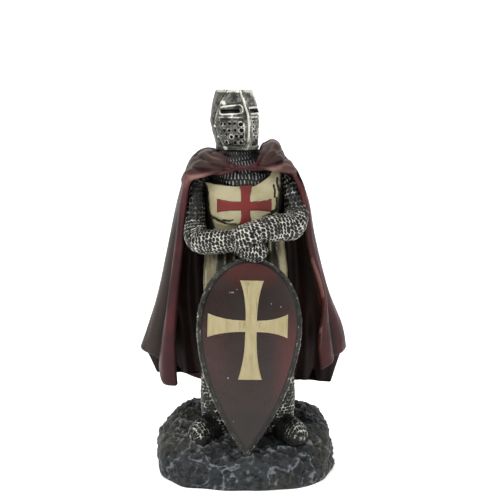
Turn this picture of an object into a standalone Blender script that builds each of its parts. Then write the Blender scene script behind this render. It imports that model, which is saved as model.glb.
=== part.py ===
"""A painted resin figurine of a medieval knight, cast in one piece with its rock base.

Sizes are in millimetres, and MM turns them into metres where a mesh is made.
X points to the viewer's right, Y away from the viewer and Z up.
The origin is the middle of the rock's underside, and angles are in degrees.
"""
import math

import bpy
import bmesh
import numpy as np
from mathutils import Matrix, Vector, noise

MM = 0.001

# Rock base
ROCK_HALF_WIDTH = 35.0
ROCK_HALF_DEPTH = 31.9
ROCK_SQUARENESS = 2.65
ROCK_TOP = 16.0
ROCK_SLOPE_START = -6.0
ROCK_SLOPE = 0.17
ROCK_LUMP = 1.5
ROCK_LUMP_SIZE = 11.0
ROCK_TOP_LUMP = 0.9
ROCK_AROUND = 44
# share of the footprint radius and height of each ring, from the underside to the middle of the top
ROCK_RINGS = (
    (0.97, -0.2), (0.99, 0.0), (1.0, 0.22), (0.995, 0.5), (0.965, 0.76), (0.9, 0.93),
    (0.78, 1.0), (0.6, 1.0), (0.4, 1.0), (0.2, 1.0),
)
# x, y, height and radius of the swellings on top of the rock
ROCK_MOUNDS = (
    (21.5, 14.0, 5.6, 10.5),
    (-19.0, 13.0, 5.4, 12.0),
    (-27.0, 2.0, 2.6, 8.0),
    (-20.0, -8.0, 2.0, 9.0),
    (21.5, -8.0, 2.2, 9.0),
)

# Legs and feet
LEG_X = (-12.2, 14.4)
LEG_Y = -7.5
LEG_TOP = 48.0
LEG_FOOT = 13.0
LEG_RADII = (5.0, 4.9, 5.4, 4.9, 3.6)
LEG_AROUND = 14
FOOT_TURN = (-34.0, 34.0)
FOOT_LENGTH = 19.0
FOOT_HEEL = 4.5
FOOT_SOLE = 15.0
FOOT_SINK = -0.25
FOOT_AROUND = 14
# share of the length, half width and height above the sole
FOOT_SECTIONS = (
    (0.0, 2.2, 6.0), (0.1, 4.2, 9.0), (0.3, 4.9, 10.4), (0.5, 5.1, 8.8),
    (0.7, 5.2, 7.8), (0.86, 4.5, 6.6), (0.96, 2.9, 4.6), (1.0, 1.0, 2.4),
)

# Surcoat: height, half width, front and back
TORSO = (
    (43.0, 15.4, -21.6, 9.0),
    (48.0, 15.5, -22.4, 9.0),
    (58.0, 15.6, -22.2, 9.0),
    (70.0, 15.8, -21.0, 9.0),
    (80.0, 16.0, -19.0, 8.5),
    (86.0, 15.4, -16.4, 8.0),
    (90.0, 15.0, -12.4, 8.0),
    (94.0, 15.2, -11.5, 8.0),
    (97.0, 15.6, -11.8, 8.0),
    (100.0, 16.0, -12.2, 8.0),
    (103.0, 16.2, -12.6, 8.0),
    (108.0, 16.4, -12.9, 8.0),
    (113.0, 16.4, -12.6, 8.0),
    (117.0, 16.2, -11.4, 10.0),
    (120.0, 15.4, -10.0, 10.5),
    (122.4, 13.0, -8.5, 9.5),
    (124.0, 9.0, -6.5, 7.5),
)
TORSO_SQUARENESS = 2.5
TORSO_AROUND = 40
TORSO_HEIGHTS = (
    43.0, 49.4, 55.8, 62.1, 68.5, 74.9, 81.3, 87.6, 94.0, 96.5, 98.1, 99.7, 101.3, 102.8, 104.4, 106.0,
    110.0, 114.0, 117.0, 119.0, 121.0, 122.6, 124.0,
)
SKIRT_FOLDS = 9
SKIRT_FOLD_HEIGHT = 0.9
SKIRT_TOP = 92.0
# the blouse of cloth over the belt: height at the middle, rise at the sides, and how far it stands out
POUCH_HEIGHT = 98.6
POUCH_RISE = 6.0
POUCH_BULGE = 2.2
POUCH_FADE = 9.0
POUCH_EDGE = 1.2

# Mail collar and neck: height, half width, front, back and centre x
COIF = (
    (113.4, 10.6, -13.7, 4.0, 0.0),
    (115.2, 11.0, -14.1, 5.0, 0.0),
    (118.0, 10.6, -13.6, 6.0, -0.4),
    (121.0, 9.4, -12.2, 7.0, -1.2),
    (124.0, 8.4, -10.4, 7.0, -2.0),
    (127.0, 7.8, -9.4, 7.0, -2.5),
    (131.0, 6.8, -8.0, 6.5, -3.0),
)
COIF_AROUND = 26

# Great helm: height, half width, front and back depth, centre x
HELM = (
    (127.6, 7.7, 9.4, 8.4, -3.1),
    (128.6, 7.9, 9.7, 8.6, -3.1),
    (133.0, 8.6, 10.8, 9.2, -3.5),
    (138.0, 9.2, 11.6, 9.8, -4.0),
    (141.0, 9.0, 10.9, 9.4, -4.0),
    (145.0, 8.4, 9.2, 8.6, -4.1),
    (149.0, 7.4, 7.4, 7.6, -4.1),
    (150.0, 6.8, 6.7, 7.1, -4.1),
)
HELM_Y = -1.6
HELM_TURN = 27.0
HELM_AROUND = 32
HELM_HEIGHTS = (127.6, 128.5, 131.5, 135.0, 138.0, 139.8, 140.4, 143.2, 144.0, 147.0, 149.4, 150.0)
# how sharp the front ridge is, and how round the front stays beside it
HELM_RIDGE = 1.55
HELM_ROUND = 0.9
HELM_BAR_WIDTH = 1.8
HELM_BAR_PROUD = 0.9
HELM_BAR_ROOT = 1.0
HELM_BAR_HEIGHTS = (128.2, 131.0, 134.0, 138.0, 141.0, 145.0, 149.6)
# height and degrees that the bar stands to the side of the front ridge there
HELM_BAR_LEAN = ((128.0, 2.5), (130.0, 2.5), (135.0, 5.0), (141.0, 5.0), (146.0, 1.0), (150.0, -4.0))
HELM_SLOT_HEIGHT = 1.2
HELM_SLOT_Z = 141.8
HELM_SLOT_ANGLES = (14.0, 74.0)
HELM_SLOT_DEPTH = 1.8
HELM_SLOT_REACH = 1.5
HELM_SLOT_STEPS = 7
# bands that stand out round the slots and along the lower edge
HELM_BROW = 0.3
HELM_BANDS = (128.5, 140.4, 143.2)

# Arms: points along the middle line with the radius there, from shoulder to wrist
ARM_LEFT = (
    (-14.5, -1.0, 117.5, 3.4), (-18.6, -3.2, 113.6, 4.2), (-19.4, -6.0, 106.0, 4.2),
    (-19.3, -8.0, 98.0, 4.3), (-17.6, -11.4, 93.0, 4.7), (-12.0, -15.2, 93.0, 4.6),
    (-6.5, -18.0, 93.8, 4.3), (-1.5, -19.8, 94.6, 3.8),
)
ARM_RIGHT = (
    (13.8, -1.0, 117.5, 3.2), (17.4, -3.4, 114.0, 4.1), (19.3, -6.0, 108.0, 4.3),
    (19.8, -8.2, 102.5, 4.6), (17.4, -12.0, 98.6, 5.2), (11.5, -15.4, 98.6, 5.1),
    (5.5, -18.6, 97.6, 4.6), (0.5, -20.4, 96.6, 4.1),
)
ARM_AROUND = 14
ARM_RINGS = 15
LUMP_END = 76.0
# centre and radii of the two hands, in mail mittens, one over the other
HANDS = (
    ((-0.2, -20.6, 95.6), (4.8, 4.2, 5.0)),
    ((3.4, -20.6, 90.6), (5.8, 3.9, 4.4)),
)
HAND_AROUND = 12

# Cloak: five fall lines (x, y, z) from the collar over the shoulder to the hem, level by level
CLOAK_LEFT_EDGE = (
    (-4.6, -14.6, 121.6), (-9.0, -14.8, 120.6), (-15.0, -13.6, 118.9), (-20.4, -11.0, 116.0),
    (-22.8, -8.5, 106.0), (-24.6, -7.4, 90.0), (-27.0, -7.0, 68.0), (-28.2, -6.4, 49.5),
    (-27.6, -5.6, 34.8),
)
CLOAK_LEFT_SIDE = (
    (-12.0, -4.0, 124.6), (-14.8, -2.0, 125.0), (-17.8, 0.0, 123.2), (-20.9, 2.0, 118.4),
    (-24.4, 4.0, 106.5), (-28.1, 5.0, 90.5), (-33.0, 7.0, 69.5), (-38.0, 9.0, 53.0), (-40.6, 10.0, 45.6),
)
CLOAK_BACK = (
    (-2.0, 8.0, 122.6), (-2.0, 10.6, 123.6), (-1.5, 13.0, 121.4), (-1.0, 14.6, 116.5),
    (0.0, 16.0, 106.0), (0.0, 17.6, 90.5), (0.0, 20.2, 69.0), (0.0, 22.4, 49.0), (0.0, 24.4, 29.2),
)
CLOAK_RIGHT_SIDE = (
    (8.4, -4.0, 127.0), (11.2, -2.0, 127.9), (13.5, 0.0, 123.0), (18.2, 2.0, 117.2),
    (23.1, 4.0, 106.5), (26.1, 5.0, 91.0), (31.5, 7.0, 70.0), (37.8, 9.0, 54.4), (39.6, 10.0, 45.8),
)
CLOAK_RIGHT_EDGE = (
    (4.2, -14.4, 122.0), (8.5, -14.4, 121.4), (13.6, -13.0, 120.2), (18.6, -10.5, 117.4),
    (22.2, -7.8, 106.5), (24.6, -6.2, 90.0), (30.4, -4.6, 68.0), (29.6, -4.4, 52.0), (30.6, -4.0, 41.2),
)
CLOAK_THICKNESS = 2.4
CLOAK_EDGE_ROUNDING = 1.0
CLOAK_INNER_FOLDS = 0.85
CLOAK_FRONT_SHARE = 1.0 / 6.0
CLOAK_HANG_FOLDS = 6
CLOAK_HANG_HEIGHT = 2.1
CLOAK_CREST = 1.2
CLOAK_FOLD_SHARPNESS = 0.9
CLOAK_DRIFT = 0.014
# left and right: how late and how quickly the levels drop from the side to the middle of the back
CLOAK_BACK_DROP = ((3.0, 8.0), (6.0, 500.0))
# the same for the drop from the side to the front edge: at the shoulder, and at the hem left and right
CLOAK_FRONT_DROP = (3.0, 1.0)
CLOAK_HEM_TURN = ((6.0, 16.0), (1.6, 1.0))
# left and right: how far the hem dips beside the legs
CLOAK_HEM_DIP = (0.8, 0.0)
CLOAK_HEM_DIP_AT = 0.27
CLOAK_HEM_DIP_WIDTH = 0.07
CLOAK_UNEVEN = 0.3
CLOAK_PLEATS = 15
CLOAK_PLEAT_HEIGHT = 0.5
CLOAK_PLEAT_LEVEL = 1.8
CLOAK_PLEAT_REACH = 2.2
CLOAK_PLEAT_PHASE = 0.8
CLOAK_SHOULDER_LEVEL = 3.0
CLOAK_HEM_LEVEL = 8.0
# how strongly the fall lines crowd towards the throat at each of the first levels
CLOAK_GATHER = (2.6, 1.8, 1.35, 1.1, 1.0, 1.0, 1.0, 1.0, 1.0)
CLOAK_FRONT_STEPS = 16
CLOAK_BACK_STEPS = 64
CLOAK_LEVEL_STEPS = 36
# the mass inside the cloak: first and last level, and where it leaves the cloak on each side
LINING_LEVELS = (2.0, 7.9)
LINING_START = (0.03, 0.15)
LINING_FRONT = (-6.0, 9.0)
LINING_DEPTH = 1.45
LINING_DROP = (10.5, 15.0)
LINING_DROP_POWER = 5.0
LINING_SQUEEZE = 0.085
LINING_STEPS = 10
LINING_AROUND = 26
LINING_ACROSS = (0.03, 0.25, 0.5, 0.75, 0.97)

# Throat cord, gathers and the loose end of the cloak
CORD_ENDS = (-4.6, 4.4)
CORD_Z = 121.3
CORD_Y = -15.0
CORD_BEND = 0.04
CORD_RADIUS = 1.0
CORD_AROUND = 8
CORD_STEPS = 6
GATHERS = (
    ((-4.8, -14.6, 121.4), (2.4, 1.4, 1.5)),
    ((4.6, -14.4, 121.8), (2.2, 1.4, 1.5)),
    ((-6.6, -15.0, 119.4), (2.4, 1.0, 1.2)),
)
GATHER_AROUND = 10

# Shield
SHIELD_CENTRE = (1.6, -20.8, 61.8)
SHIELD_TURN = 4.0
SHIELD_LEAN = 5.5
SHIELD_TILT = 1.75
SHIELD_HALF_WIDTH = 18.6
SHIELD_UPPER = 25.2
SHIELD_LOWER = 48.6
SHIELD_TAPER = 1.9
SHIELD_THICKNESS = 3.6
SHIELD_BULGE = 2.4
SHIELD_BULGE_POWER = 2.6
# the rim: how far it reaches beyond the face, how far back it lies and how much its front slopes
SHIELD_RIM = 1.4
SHIELD_RIM_STEP = 0.5
SHIELD_RIM_GAP = 0.2
SHIELD_RIM_SLOPE = 0.3
SHIELD_SHOULDER = 0.8
SHIELD_AROUND = 48
SHIELD_RINGS = (0.35, 0.65, 0.85, 0.96, 1.0)

# Crosses: arms up, down, left and right, waist half width and end half width, with the middle point of each
SHIELD_CROSS = (17.1, 20.3, 16.3, 13.9, 2.15, 4.5)
SHIELD_CROSS_MIDDLE = (0.4, 0.5)
CHEST_CROSS = (8.0, 7.4, 11.0, 9.8, 1.6, 2.6)
CHEST_CROSS_MIDDLE = (0.4, 106.6)
CROSS_RELIEF = 0.4
CROSS_STEPS = 5
CROSS_FLARE = 2.4
CROSS_ROOT = 1.2

# The casting: grid of its skin, number of triangles that carry it, and depth of the block under it
SKIN_STEP = 0.4
TRIANGLES = 9400
GROUND_DEPTH = 6.0


def spline(rows, at):
    """Reads rows of numbers at fractional row positions, on a smooth curve through them."""
    rows = np.asarray(rows, dtype=float)
    last = len(rows) - 1
    at = np.clip(np.asarray(at, dtype=float), 0.0, last)
    low = np.minimum(at.astype(int), last - 1)
    t = (at - low)[..., None]
    before = rows[np.maximum(low - 1, 0)]
    start = rows[low]
    end = rows[low + 1]
    after = rows[np.minimum(low + 2, last)]
    linear = (end - before) * t
    square = (2 * before - 5 * start + 4 * end - after) * t ** 2
    cubic = (3 * start - before - 3 * end + after) * t ** 3
    return 0.5 * (2 * start + linear + square + cubic)


def profile(rows, key):
    """Reads a table at a value of its first column."""
    rows = np.asarray(rows, dtype=float)
    at = np.interp(key, rows[:, 0], np.arange(len(rows)))
    return spline(rows[:, 1:], at)


def power(value, exponent):
    """Raises a number to a power and keeps its sign."""
    return np.sign(value) * np.abs(value) ** exponent


def add_mesh(name, points, faces):
    """Makes an object from points in millimetres, with its faces turned outwards."""
    mesh = bpy.data.meshes.new(name)
    mesh.from_pydata([tuple(point) for point in np.asarray(points) * MM], [], faces)
    shape = bmesh.new()
    shape.from_mesh(mesh)
    bmesh.ops.recalc_face_normals(shape, faces=shape.faces)
    shape.to_mesh(mesh)
    shape.free()
    thing = bpy.data.objects.new(name, mesh)
    bpy.context.scene.collection.objects.link(thing)
    return thing


def loft(name, rings):
    """Makes a closed solid from rings of points, with a fan of triangles over each end."""
    rings = np.asarray(rings, dtype=float)
    levels, around = rings.shape[:2]
    points = list(rings.reshape(-1, 3))
    points += [rings[0].mean(axis=0), rings[-1].mean(axis=0)]
    bottom = levels * around
    top = bottom + 1
    last = (levels - 1) * around
    faces = []
    for k in range(around):
        n = (k + 1) % around
        for row in range(0, last, around):
            faces.append((row + k, row + n, row + around + n, row + around + k))
        faces.append((n, k, bottom))
        faces.append((last + k, last + n, top))
    return add_mesh(name, points, faces)


def shell(name, rings, count):
    """Makes a closed sheet with thickness: each ring holds count outer points, a point that rounds the far
    edge, count inner points backwards and a point that rounds the near edge."""
    rings = np.asarray(rings, dtype=float)
    levels, around = rings.shape[:2]
    last = (levels - 1) * around
    faces = []
    for k in range(around):
        n = (k + 1) % around
        for row in range(0, last, around):
            faces.append((row + k, row + n, row + around + n, row + around + k))
    for row in (0, last):
        for k in range(count - 1):
            faces.append((row + k, row + k + 1, row + 2 * count - k - 1, row + 2 * count - k))
        faces.append((row + count - 1, row + count, row + count + 1))
        faces.append((row, row + 2 * count, row + 2 * count + 1))
    return add_mesh(name, rings.reshape(-1, 3), faces)


def ellipsoid(name, centre, radii, around):
    """Makes a round lump, a little flattened at its two ends."""
    rings = []
    for lift in np.linspace(-LUMP_END, LUMP_END, around // 2):
        flat = math.cos(math.radians(lift))
        ring = []
        for k in range(around):
            turn = 2 * math.pi * k / around
            offset = (math.cos(turn) * flat, math.sin(turn) * flat, math.sin(math.radians(lift)))
            ring.append(np.array(centre) + np.array(offset) * np.array(radii))
        rings.append(ring)
    return loft(name, rings)


def rock_point(turn, share, height):
    """A point on the rock: its footprint is a lumpy rounded rectangle."""
    across = power(math.cos(turn), 2 / ROCK_SQUARENESS) * ROCK_HALF_WIDTH
    along = power(math.sin(turn), 2 / ROCK_SQUARENESS) * ROCK_HALF_DEPTH
    lump = noise.noise(Vector((across, along, height * ROCK_TOP)) / ROCK_LUMP_SIZE)
    grow = share * (1 + ROCK_LUMP * lump / ROCK_HALF_DEPTH)
    x = across * grow
    y = along * grow
    top = ROCK_TOP + ROCK_SLOPE * min(0.0, y - ROCK_SLOPE_START)
    for mound_x, mound_y, rise, radius in ROCK_MOUNDS:
        distance = math.hypot(x - mound_x, y - mound_y) / radius
        top += rise * math.exp(-distance ** 2)
    top += ROCK_TOP_LUMP * noise.noise(Vector((x, y, 3.0)) / ROCK_LUMP_SIZE * 2.0)
    return (x, y, top * height)


def make_rock(name):
    rings = []
    for share, height in ROCK_RINGS:
        turns = np.linspace(0, 2 * math.pi, ROCK_AROUND, endpoint=False)
        rings.append([rock_point(turn, share, height) for turn in turns])
    return loft(name, rings)


def make_leg(side):
    rings = []
    for k, radius in enumerate(LEG_RADII):
        z = LEG_FOOT + (LEG_TOP - LEG_FOOT) * k / (len(LEG_RADII) - 1)
        turns = np.linspace(0, 2 * math.pi, LEG_AROUND, endpoint=False)
        rings.append([(LEG_X[side] + radius * math.cos(t), LEG_Y + radius * math.sin(t), z) for t in turns])
    return loft("leg", rings)


def make_foot(side):
    turn = math.radians(FOOT_TURN[side])
    forward = np.array((math.sin(turn), -math.cos(turn), 0.0))
    across = np.array((math.cos(turn), math.sin(turn), 0.0))
    heel = np.array((LEG_X[side], LEG_Y, FOOT_SOLE)) - forward * FOOT_HEEL
    rings = []
    for share, half_width, height in FOOT_SECTIONS:
        ring = []
        for k in range(FOOT_AROUND):
            angle = 2 * math.pi * k / FOOT_AROUND
            rise = max(math.sin(angle), FOOT_SINK)
            along = heel + forward * FOOT_LENGTH * share
            aside = across * half_width * math.cos(angle)
            ring.append(along + aside + np.array((0.0, 0.0, height * rise)))
        rings.append(ring)
    return loft("foot", rings)


def torso_point(turn, z):
    """A point on the surcoat, with the folds of its skirt and the blouse over the belt."""
    half_width, front, back = profile(TORSO, z)
    across = power(math.cos(turn), 2 / TORSO_SQUARENESS)
    along = power(math.sin(turn), 2 / TORSO_SQUARENESS)
    depth = back if along > 0 else -front
    low = max(0.0, (SKIRT_TOP - z) / (SKIRT_TOP - TORSO[0][0]))
    fold = SKIRT_FOLD_HEIGHT * low * math.cos(SKIRT_FOLDS * turn)
    x = across * (half_width + fold)
    y = along * (depth + fold)
    if along < 0:
        above = z - POUCH_HEIGHT - POUCH_RISE * (x / half_width) ** 2
        if above > 0:
            y += POUCH_BULGE * along * math.exp(-above / POUCH_FADE) * min(1.0, above / POUCH_EDGE)
    return (x, y, z)


def make_torso():
    turns = np.linspace(0, 2 * math.pi, TORSO_AROUND, endpoint=False)
    return loft("surcoat", [[torso_point(turn, z) for turn in turns] for z in TORSO_HEIGHTS])


def make_coif():
    turns = np.linspace(0, 2 * math.pi, COIF_AROUND, endpoint=False)
    rings = []
    for z, half_width, front, back, centre in COIF:
        ring = []
        for turn in turns:
            depth = back if math.sin(turn) > 0 else -front
            ring.append((centre + half_width * math.cos(turn), depth * math.sin(turn), z))
        rings.append(ring)
    return loft("coif", rings)


def helm_point(angle, z, proud=0.0):
    """A point on the helm, at an angle from its front ridge."""
    half_width, front, back, centre = profile(HELM, z)
    across = math.sin(angle)
    if math.cos(angle) > 0:
        forward = (front + proud) * max(1 - abs(across) ** HELM_RIDGE, HELM_ROUND * math.cos(angle))
    else:
        forward = (back + proud) * math.cos(angle)
    side = (half_width + proud) * across
    turn = math.radians(HELM_TURN)
    x = centre + forward * math.sin(turn) + side * math.cos(turn)
    y = HELM_Y - forward * math.cos(turn) + side * math.sin(turn)
    return (x, y, z)


def make_helm():
    turns = np.linspace(0, 2 * math.pi, HELM_AROUND, endpoint=False)
    rings = []
    for z in HELM_HEIGHTS:
        proud = HELM_BROW if z in HELM_BANDS else 0.0
        rings.append([helm_point(turn, z, proud) for turn in turns])
    return loft("helm", rings)


def helm_strip(name, angles, heights, inner, outer):
    """A curved bar that follows the helm between two angles and two heights."""
    rings = []
    for angle in np.radians(angles):
        low, high = heights
        rings.append([
            helm_point(angle, low, inner), helm_point(angle, low, outer),
            helm_point(angle, high, outer), helm_point(angle, high, inner),
        ])
    return loft(name, rings)


def make_helm_bar():
    half_width = HELM[0][1]
    half = HELM_BAR_WIDTH / 2 / half_width
    rings = []
    for z in HELM_BAR_HEIGHTS:
        lean = math.radians(np.interp(z, *zip(*HELM_BAR_LEAN)))
        low, high = lean - half, lean + half
        rings.append([
            helm_point(low, z, -HELM_BAR_ROOT), helm_point(low, z, HELM_BAR_PROUD),
            helm_point(high, z, HELM_BAR_PROUD), helm_point(high, z, -HELM_BAR_ROOT),
        ])
    return loft("helm_bar", rings)


def make_eye_slots():
    first, last = HELM_SLOT_ANGLES
    half = HELM_SLOT_HEIGHT / 2
    slots = []
    for side in (-1, 1):
        angles = np.linspace(first, last, HELM_SLOT_STEPS) * side
        heights = (HELM_SLOT_Z - half, HELM_SLOT_Z + half)
        slots.append(helm_strip("eye_slot", angles, heights, -HELM_SLOT_DEPTH, HELM_SLOT_REACH))
    return slots


def make_arm(name, points):
    rings = []
    for at in np.linspace(0, len(points) - 1, ARM_RINGS):
        place = spline(points, at)
        ahead = spline(points, at + 0.05) - spline(points, at - 0.05)
        tangent = Vector(ahead[:3]).normalized()
        across = tangent.cross(Vector((0.0, 1.0, 1.0))).normalized()
        up = across.cross(tangent)
        ring = []
        for k in range(ARM_AROUND):
            turn = 2 * math.pi * k / ARM_AROUND
            offset = across * math.cos(turn) + up * math.sin(turn)
            ring.append(place[:3] + np.array(offset) * place[3])
        rings.append(ring)
    return loft(name, rings)


def cloak_hang(level):
    """How far down a level hangs: 0 at the shoulder and 1 at the hem."""
    hang = (level - CLOAK_SHOULDER_LEVEL) / (CLOAK_HEM_LEVEL - CLOAK_SHOULDER_LEVEL)
    return min(1.0, max(0.0, hang))


def cloak_fold(u, level, pleats=1.0):
    """How far a fold of the cloak stands out: deep hanging folds, and fine pleats over the shoulders."""
    hang = cloak_hang(level)
    drift = CLOAK_DRIFT * math.sin(1.6 * level + 9.0 * u) * math.sin(math.pi * u) ** 2
    wave = 2 * abs(math.cos(math.pi * CLOAK_HANG_FOLDS * (u + drift))) ** CLOAK_FOLD_SHARPNESS - 1
    uneven = 1 + CLOAK_UNEVEN * math.sin(17.0 * u)
    deep = CLOAK_HANG_HEIGHT * hang ** 0.8 * (wave - CLOAK_CREST) * uneven
    top = max(0.0, 1.0 - abs(level - CLOAK_PLEAT_LEVEL) / CLOAK_PLEAT_REACH)
    fine = CLOAK_PLEAT_HEIGHT * top * math.cos(2 * math.pi * CLOAK_PLEATS * u + CLOAK_PLEAT_PHASE)
    return deep + fine * pleats


def cloak_base(u, level):
    """A point of the smooth surface inside the cloak: u runs from the left front edge round the back."""
    stations = [spline(line, level) for line in
                (CLOAK_LEFT_EDGE, CLOAK_LEFT_SIDE, CLOAK_BACK, CLOAK_RIGHT_SIDE, CLOAK_RIGHT_EDGE)]
    edge_left, side_left, back, side_right, edge_right = stations
    mirrored = u > 0.5
    along = 1 - u if mirrored else u
    side = side_right if mirrored else side_left
    edge = edge_right if mirrored else edge_left
    if along < CLOAK_FRONT_SHARE:
        crowding = np.interp(level, range(len(CLOAK_GATHER)), CLOAK_GATHER)
        share = (1 - along / CLOAK_FRONT_SHARE) ** (1 / crowding)
        turn = share * math.pi / 2
        x = side[0] + (edge[0] - side[0]) * (1 - math.cos(turn))
        y = side[1] + (edge[1] - side[1]) * math.sin(turn)
        start = np.array(CLOAK_FRONT_DROP)
        late, quick = start + (np.array(CLOAK_HEM_TURN[mirrored]) - start) * cloak_hang(level)
        z = side[2] + (edge[2] - side[2]) * (1 - (1 - share ** late) ** quick)
    else:
        share = (along - CLOAK_FRONT_SHARE) / (0.5 - CLOAK_FRONT_SHARE)
        turn = share * math.pi / 2
        x = back[0] + (side[0] - back[0]) * math.cos(turn)
        y = side[1] + (back[1] - side[1]) * math.sin(turn)
        late, quick = CLOAK_BACK_DROP[mirrored]
        drop = 1 - (1 - share ** late) ** quick
        dip = math.exp(-((along - CLOAK_HEM_DIP_AT) / CLOAK_HEM_DIP_WIDTH) ** 2)
        z = side[2] + (back[2] - side[2]) * drop
        z -= CLOAK_HEM_DIP[mirrored] * dip * cloak_hang(level) ** 4
    return np.array((x, y, z))


def cloak_normal(u, level):
    step = 0.01
    around = cloak_base(min(u + step, 1.0), level) - cloak_base(max(u - step, 0.0), level)
    down = cloak_base(u, min(level + step, CLOAK_HEM_LEVEL)) - cloak_base(u, max(level - step, 0.0))
    normal = np.cross(around, down)
    return normal / np.linalg.norm(normal)


def cloak_point(u, level, inset=0.0):
    """A point of the folded cloak, or of its inner side, moved inwards by inset and with softer folds."""
    if inset == 0.0:
        proud = cloak_fold(u, level)
    else:
        proud = cloak_fold(u, level, 0.0) * CLOAK_INNER_FOLDS - inset
    return cloak_base(u, level) + cloak_normal(u, level) * (CLOAK_THICKNESS + proud)


def cloak_rounding(edge, level):
    """How far the middle of a front edge stands out beyond the cloak's two faces."""
    inside = abs(edge - 0.01)
    out = cloak_base(edge, level) - cloak_base(inside, level)
    return out / np.linalg.norm(out) * CLOAK_EDGE_ROUNDING


def cloak_turns():
    """Values of u from the left front edge to the right one, closer together at the front."""
    front = np.linspace(0, CLOAK_FRONT_SHARE, CLOAK_FRONT_STEPS, endpoint=False)
    back = np.linspace(CLOAK_FRONT_SHARE, 1 - CLOAK_FRONT_SHARE, CLOAK_BACK_STEPS, endpoint=False)
    return [*front, *back, *(1 - front[::-1])]


def make_cloak():
    turns = cloak_turns()
    rings = []
    for level in np.linspace(0, CLOAK_HEM_LEVEL, CLOAK_LEVEL_STEPS + 1):
        outer = [cloak_point(u, level) for u in turns]
        inner = [cloak_point(u, level, CLOAK_THICKNESS) for u in turns]
        right = (outer[-1] + inner[-1]) / 2 + cloak_rounding(1.0, level)
        left = (outer[0] + inner[0]) / 2 + cloak_rounding(0.0, level)
        rings.append(outer + [right] + inner[::-1] + [left])
    return shell("cloak", rings, len(turns))


def make_lining():
    """The mass that joins the cloak to the figure, with its front face deep between the cloak's edges."""
    rings = []
    first, last = LINING_LEVELS
    for level in np.linspace(first, last, LINING_STEPS):
        share = (level - first) / (last - first)
        start = LINING_START[0] + (LINING_START[1] - LINING_START[0]) * share
        front = LINING_FRONT[0] + (LINING_FRONT[1] - LINING_FRONT[0]) * share
        turns = np.linspace(start, 1 - start, LINING_AROUND)
        ring = [cloak_point(u, level, LINING_DEPTH) for u in turns]
        left = ring[0]
        right = ring[-1]
        for t in LINING_ACROSS:
            point = right + (left - right) * t
            point[1] = front
            late = share ** LINING_DROP_POWER
            point[0] *= 1 - LINING_SQUEEZE * late
            point[2] -= (LINING_DROP[1] + (LINING_DROP[0] - LINING_DROP[1]) * t) * late
            ring.append(point)
        rings.append(ring)
    return loft("lining", rings)


def make_cord():
    rings = []
    for x in np.linspace(*CORD_ENDS, CORD_STEPS):
        ring = []
        for k in range(CORD_AROUND):
            turn = 2 * math.pi * k / CORD_AROUND
            y = CORD_Y + CORD_BEND * x * x + CORD_RADIUS * math.cos(turn)
            ring.append((x, y, CORD_Z + CORD_RADIUS * math.sin(turn)))
        rings.append(ring)
    return loft("cord", rings)


def shield_matrix():
    turn = Matrix.Rotation(math.radians(SHIELD_TURN), 4, "Z")
    lean = Matrix.Rotation(math.radians(-SHIELD_LEAN), 4, "X")
    tilt = Matrix.Rotation(math.radians(SHIELD_TILT), 4, "Y")
    return Matrix.Translation(SHIELD_CENTRE) @ turn @ lean @ tilt


def shield_outline(turn):
    """The kite's outline: a half ellipse above its widest line and a curved taper to the tip below."""
    across = math.cos(turn)
    rise = math.sin(turn)
    if rise >= 0:
        return (SHIELD_HALF_WIDTH * across, SHIELD_UPPER * rise)
    drop = -rise
    down = 1 - (1 - drop) ** SHIELD_SHOULDER
    share = down if abs(across) > 1e-6 else 1.0
    half = SHIELD_HALF_WIDTH * (1 - share ** SHIELD_TAPER)
    return (math.copysign(half, across) if abs(across) > 1e-6 else 0.0, -SHIELD_LOWER * share)


def shield_share(x, z):
    """How far out a point of the face lies: 0 at the middle and 1 at the edge."""
    if z >= 0:
        return math.hypot(x / SHIELD_HALF_WIDTH, z / SHIELD_UPPER)
    low = 0.0
    high = 1.4
    for _ in range(24):
        middle = (low + high) / 2
        drop = min(1.0, -z / (SHIELD_LOWER * middle)) if middle > 0 else 1.0
        inside = abs(x) <= SHIELD_HALF_WIDTH * middle * (1 - drop ** SHIELD_TAPER) and drop < 1.0
        if inside:
            high = middle
        else:
            low = middle
    return high


def shield_face(x, z):
    """How far the face stands in front of the shield's back."""
    share = min(1.0, shield_share(x, z))
    return SHIELD_THICKNESS + SHIELD_BULGE * (1 - share ** SHIELD_BULGE_POWER)


def make_shield():
    place = shield_matrix()
    turns = np.linspace(0, 2 * math.pi, SHIELD_AROUND, endpoint=False) + math.pi / 2
    outline = [shield_outline(turn) for turn in turns]
    rings = []
    for share in SHIELD_RINGS:
        rings.append([(x * share, -shield_face(x * share, z * share), z * share) for x, z in outline])
    depth = SHIELD_THICKNESS - SHIELD_RIM_STEP
    half_height = (SHIELD_UPPER + SHIELD_LOWER) / 2
    steps = ((SHIELD_RIM_GAP, depth), (SHIELD_RIM, depth - SHIELD_RIM_SLOPE), (SHIELD_RIM, 0.0))
    for out, forward in steps:
        wide = 1 + out / SHIELD_HALF_WIDTH
        tall = 1 + out / half_height
        rings.append([(x * wide, -forward, z * tall) for x, z in outline])
    placed = [[tuple(place @ Vector(point)) for point in ring] for ring in rings]
    return loft("shield", placed)


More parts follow.
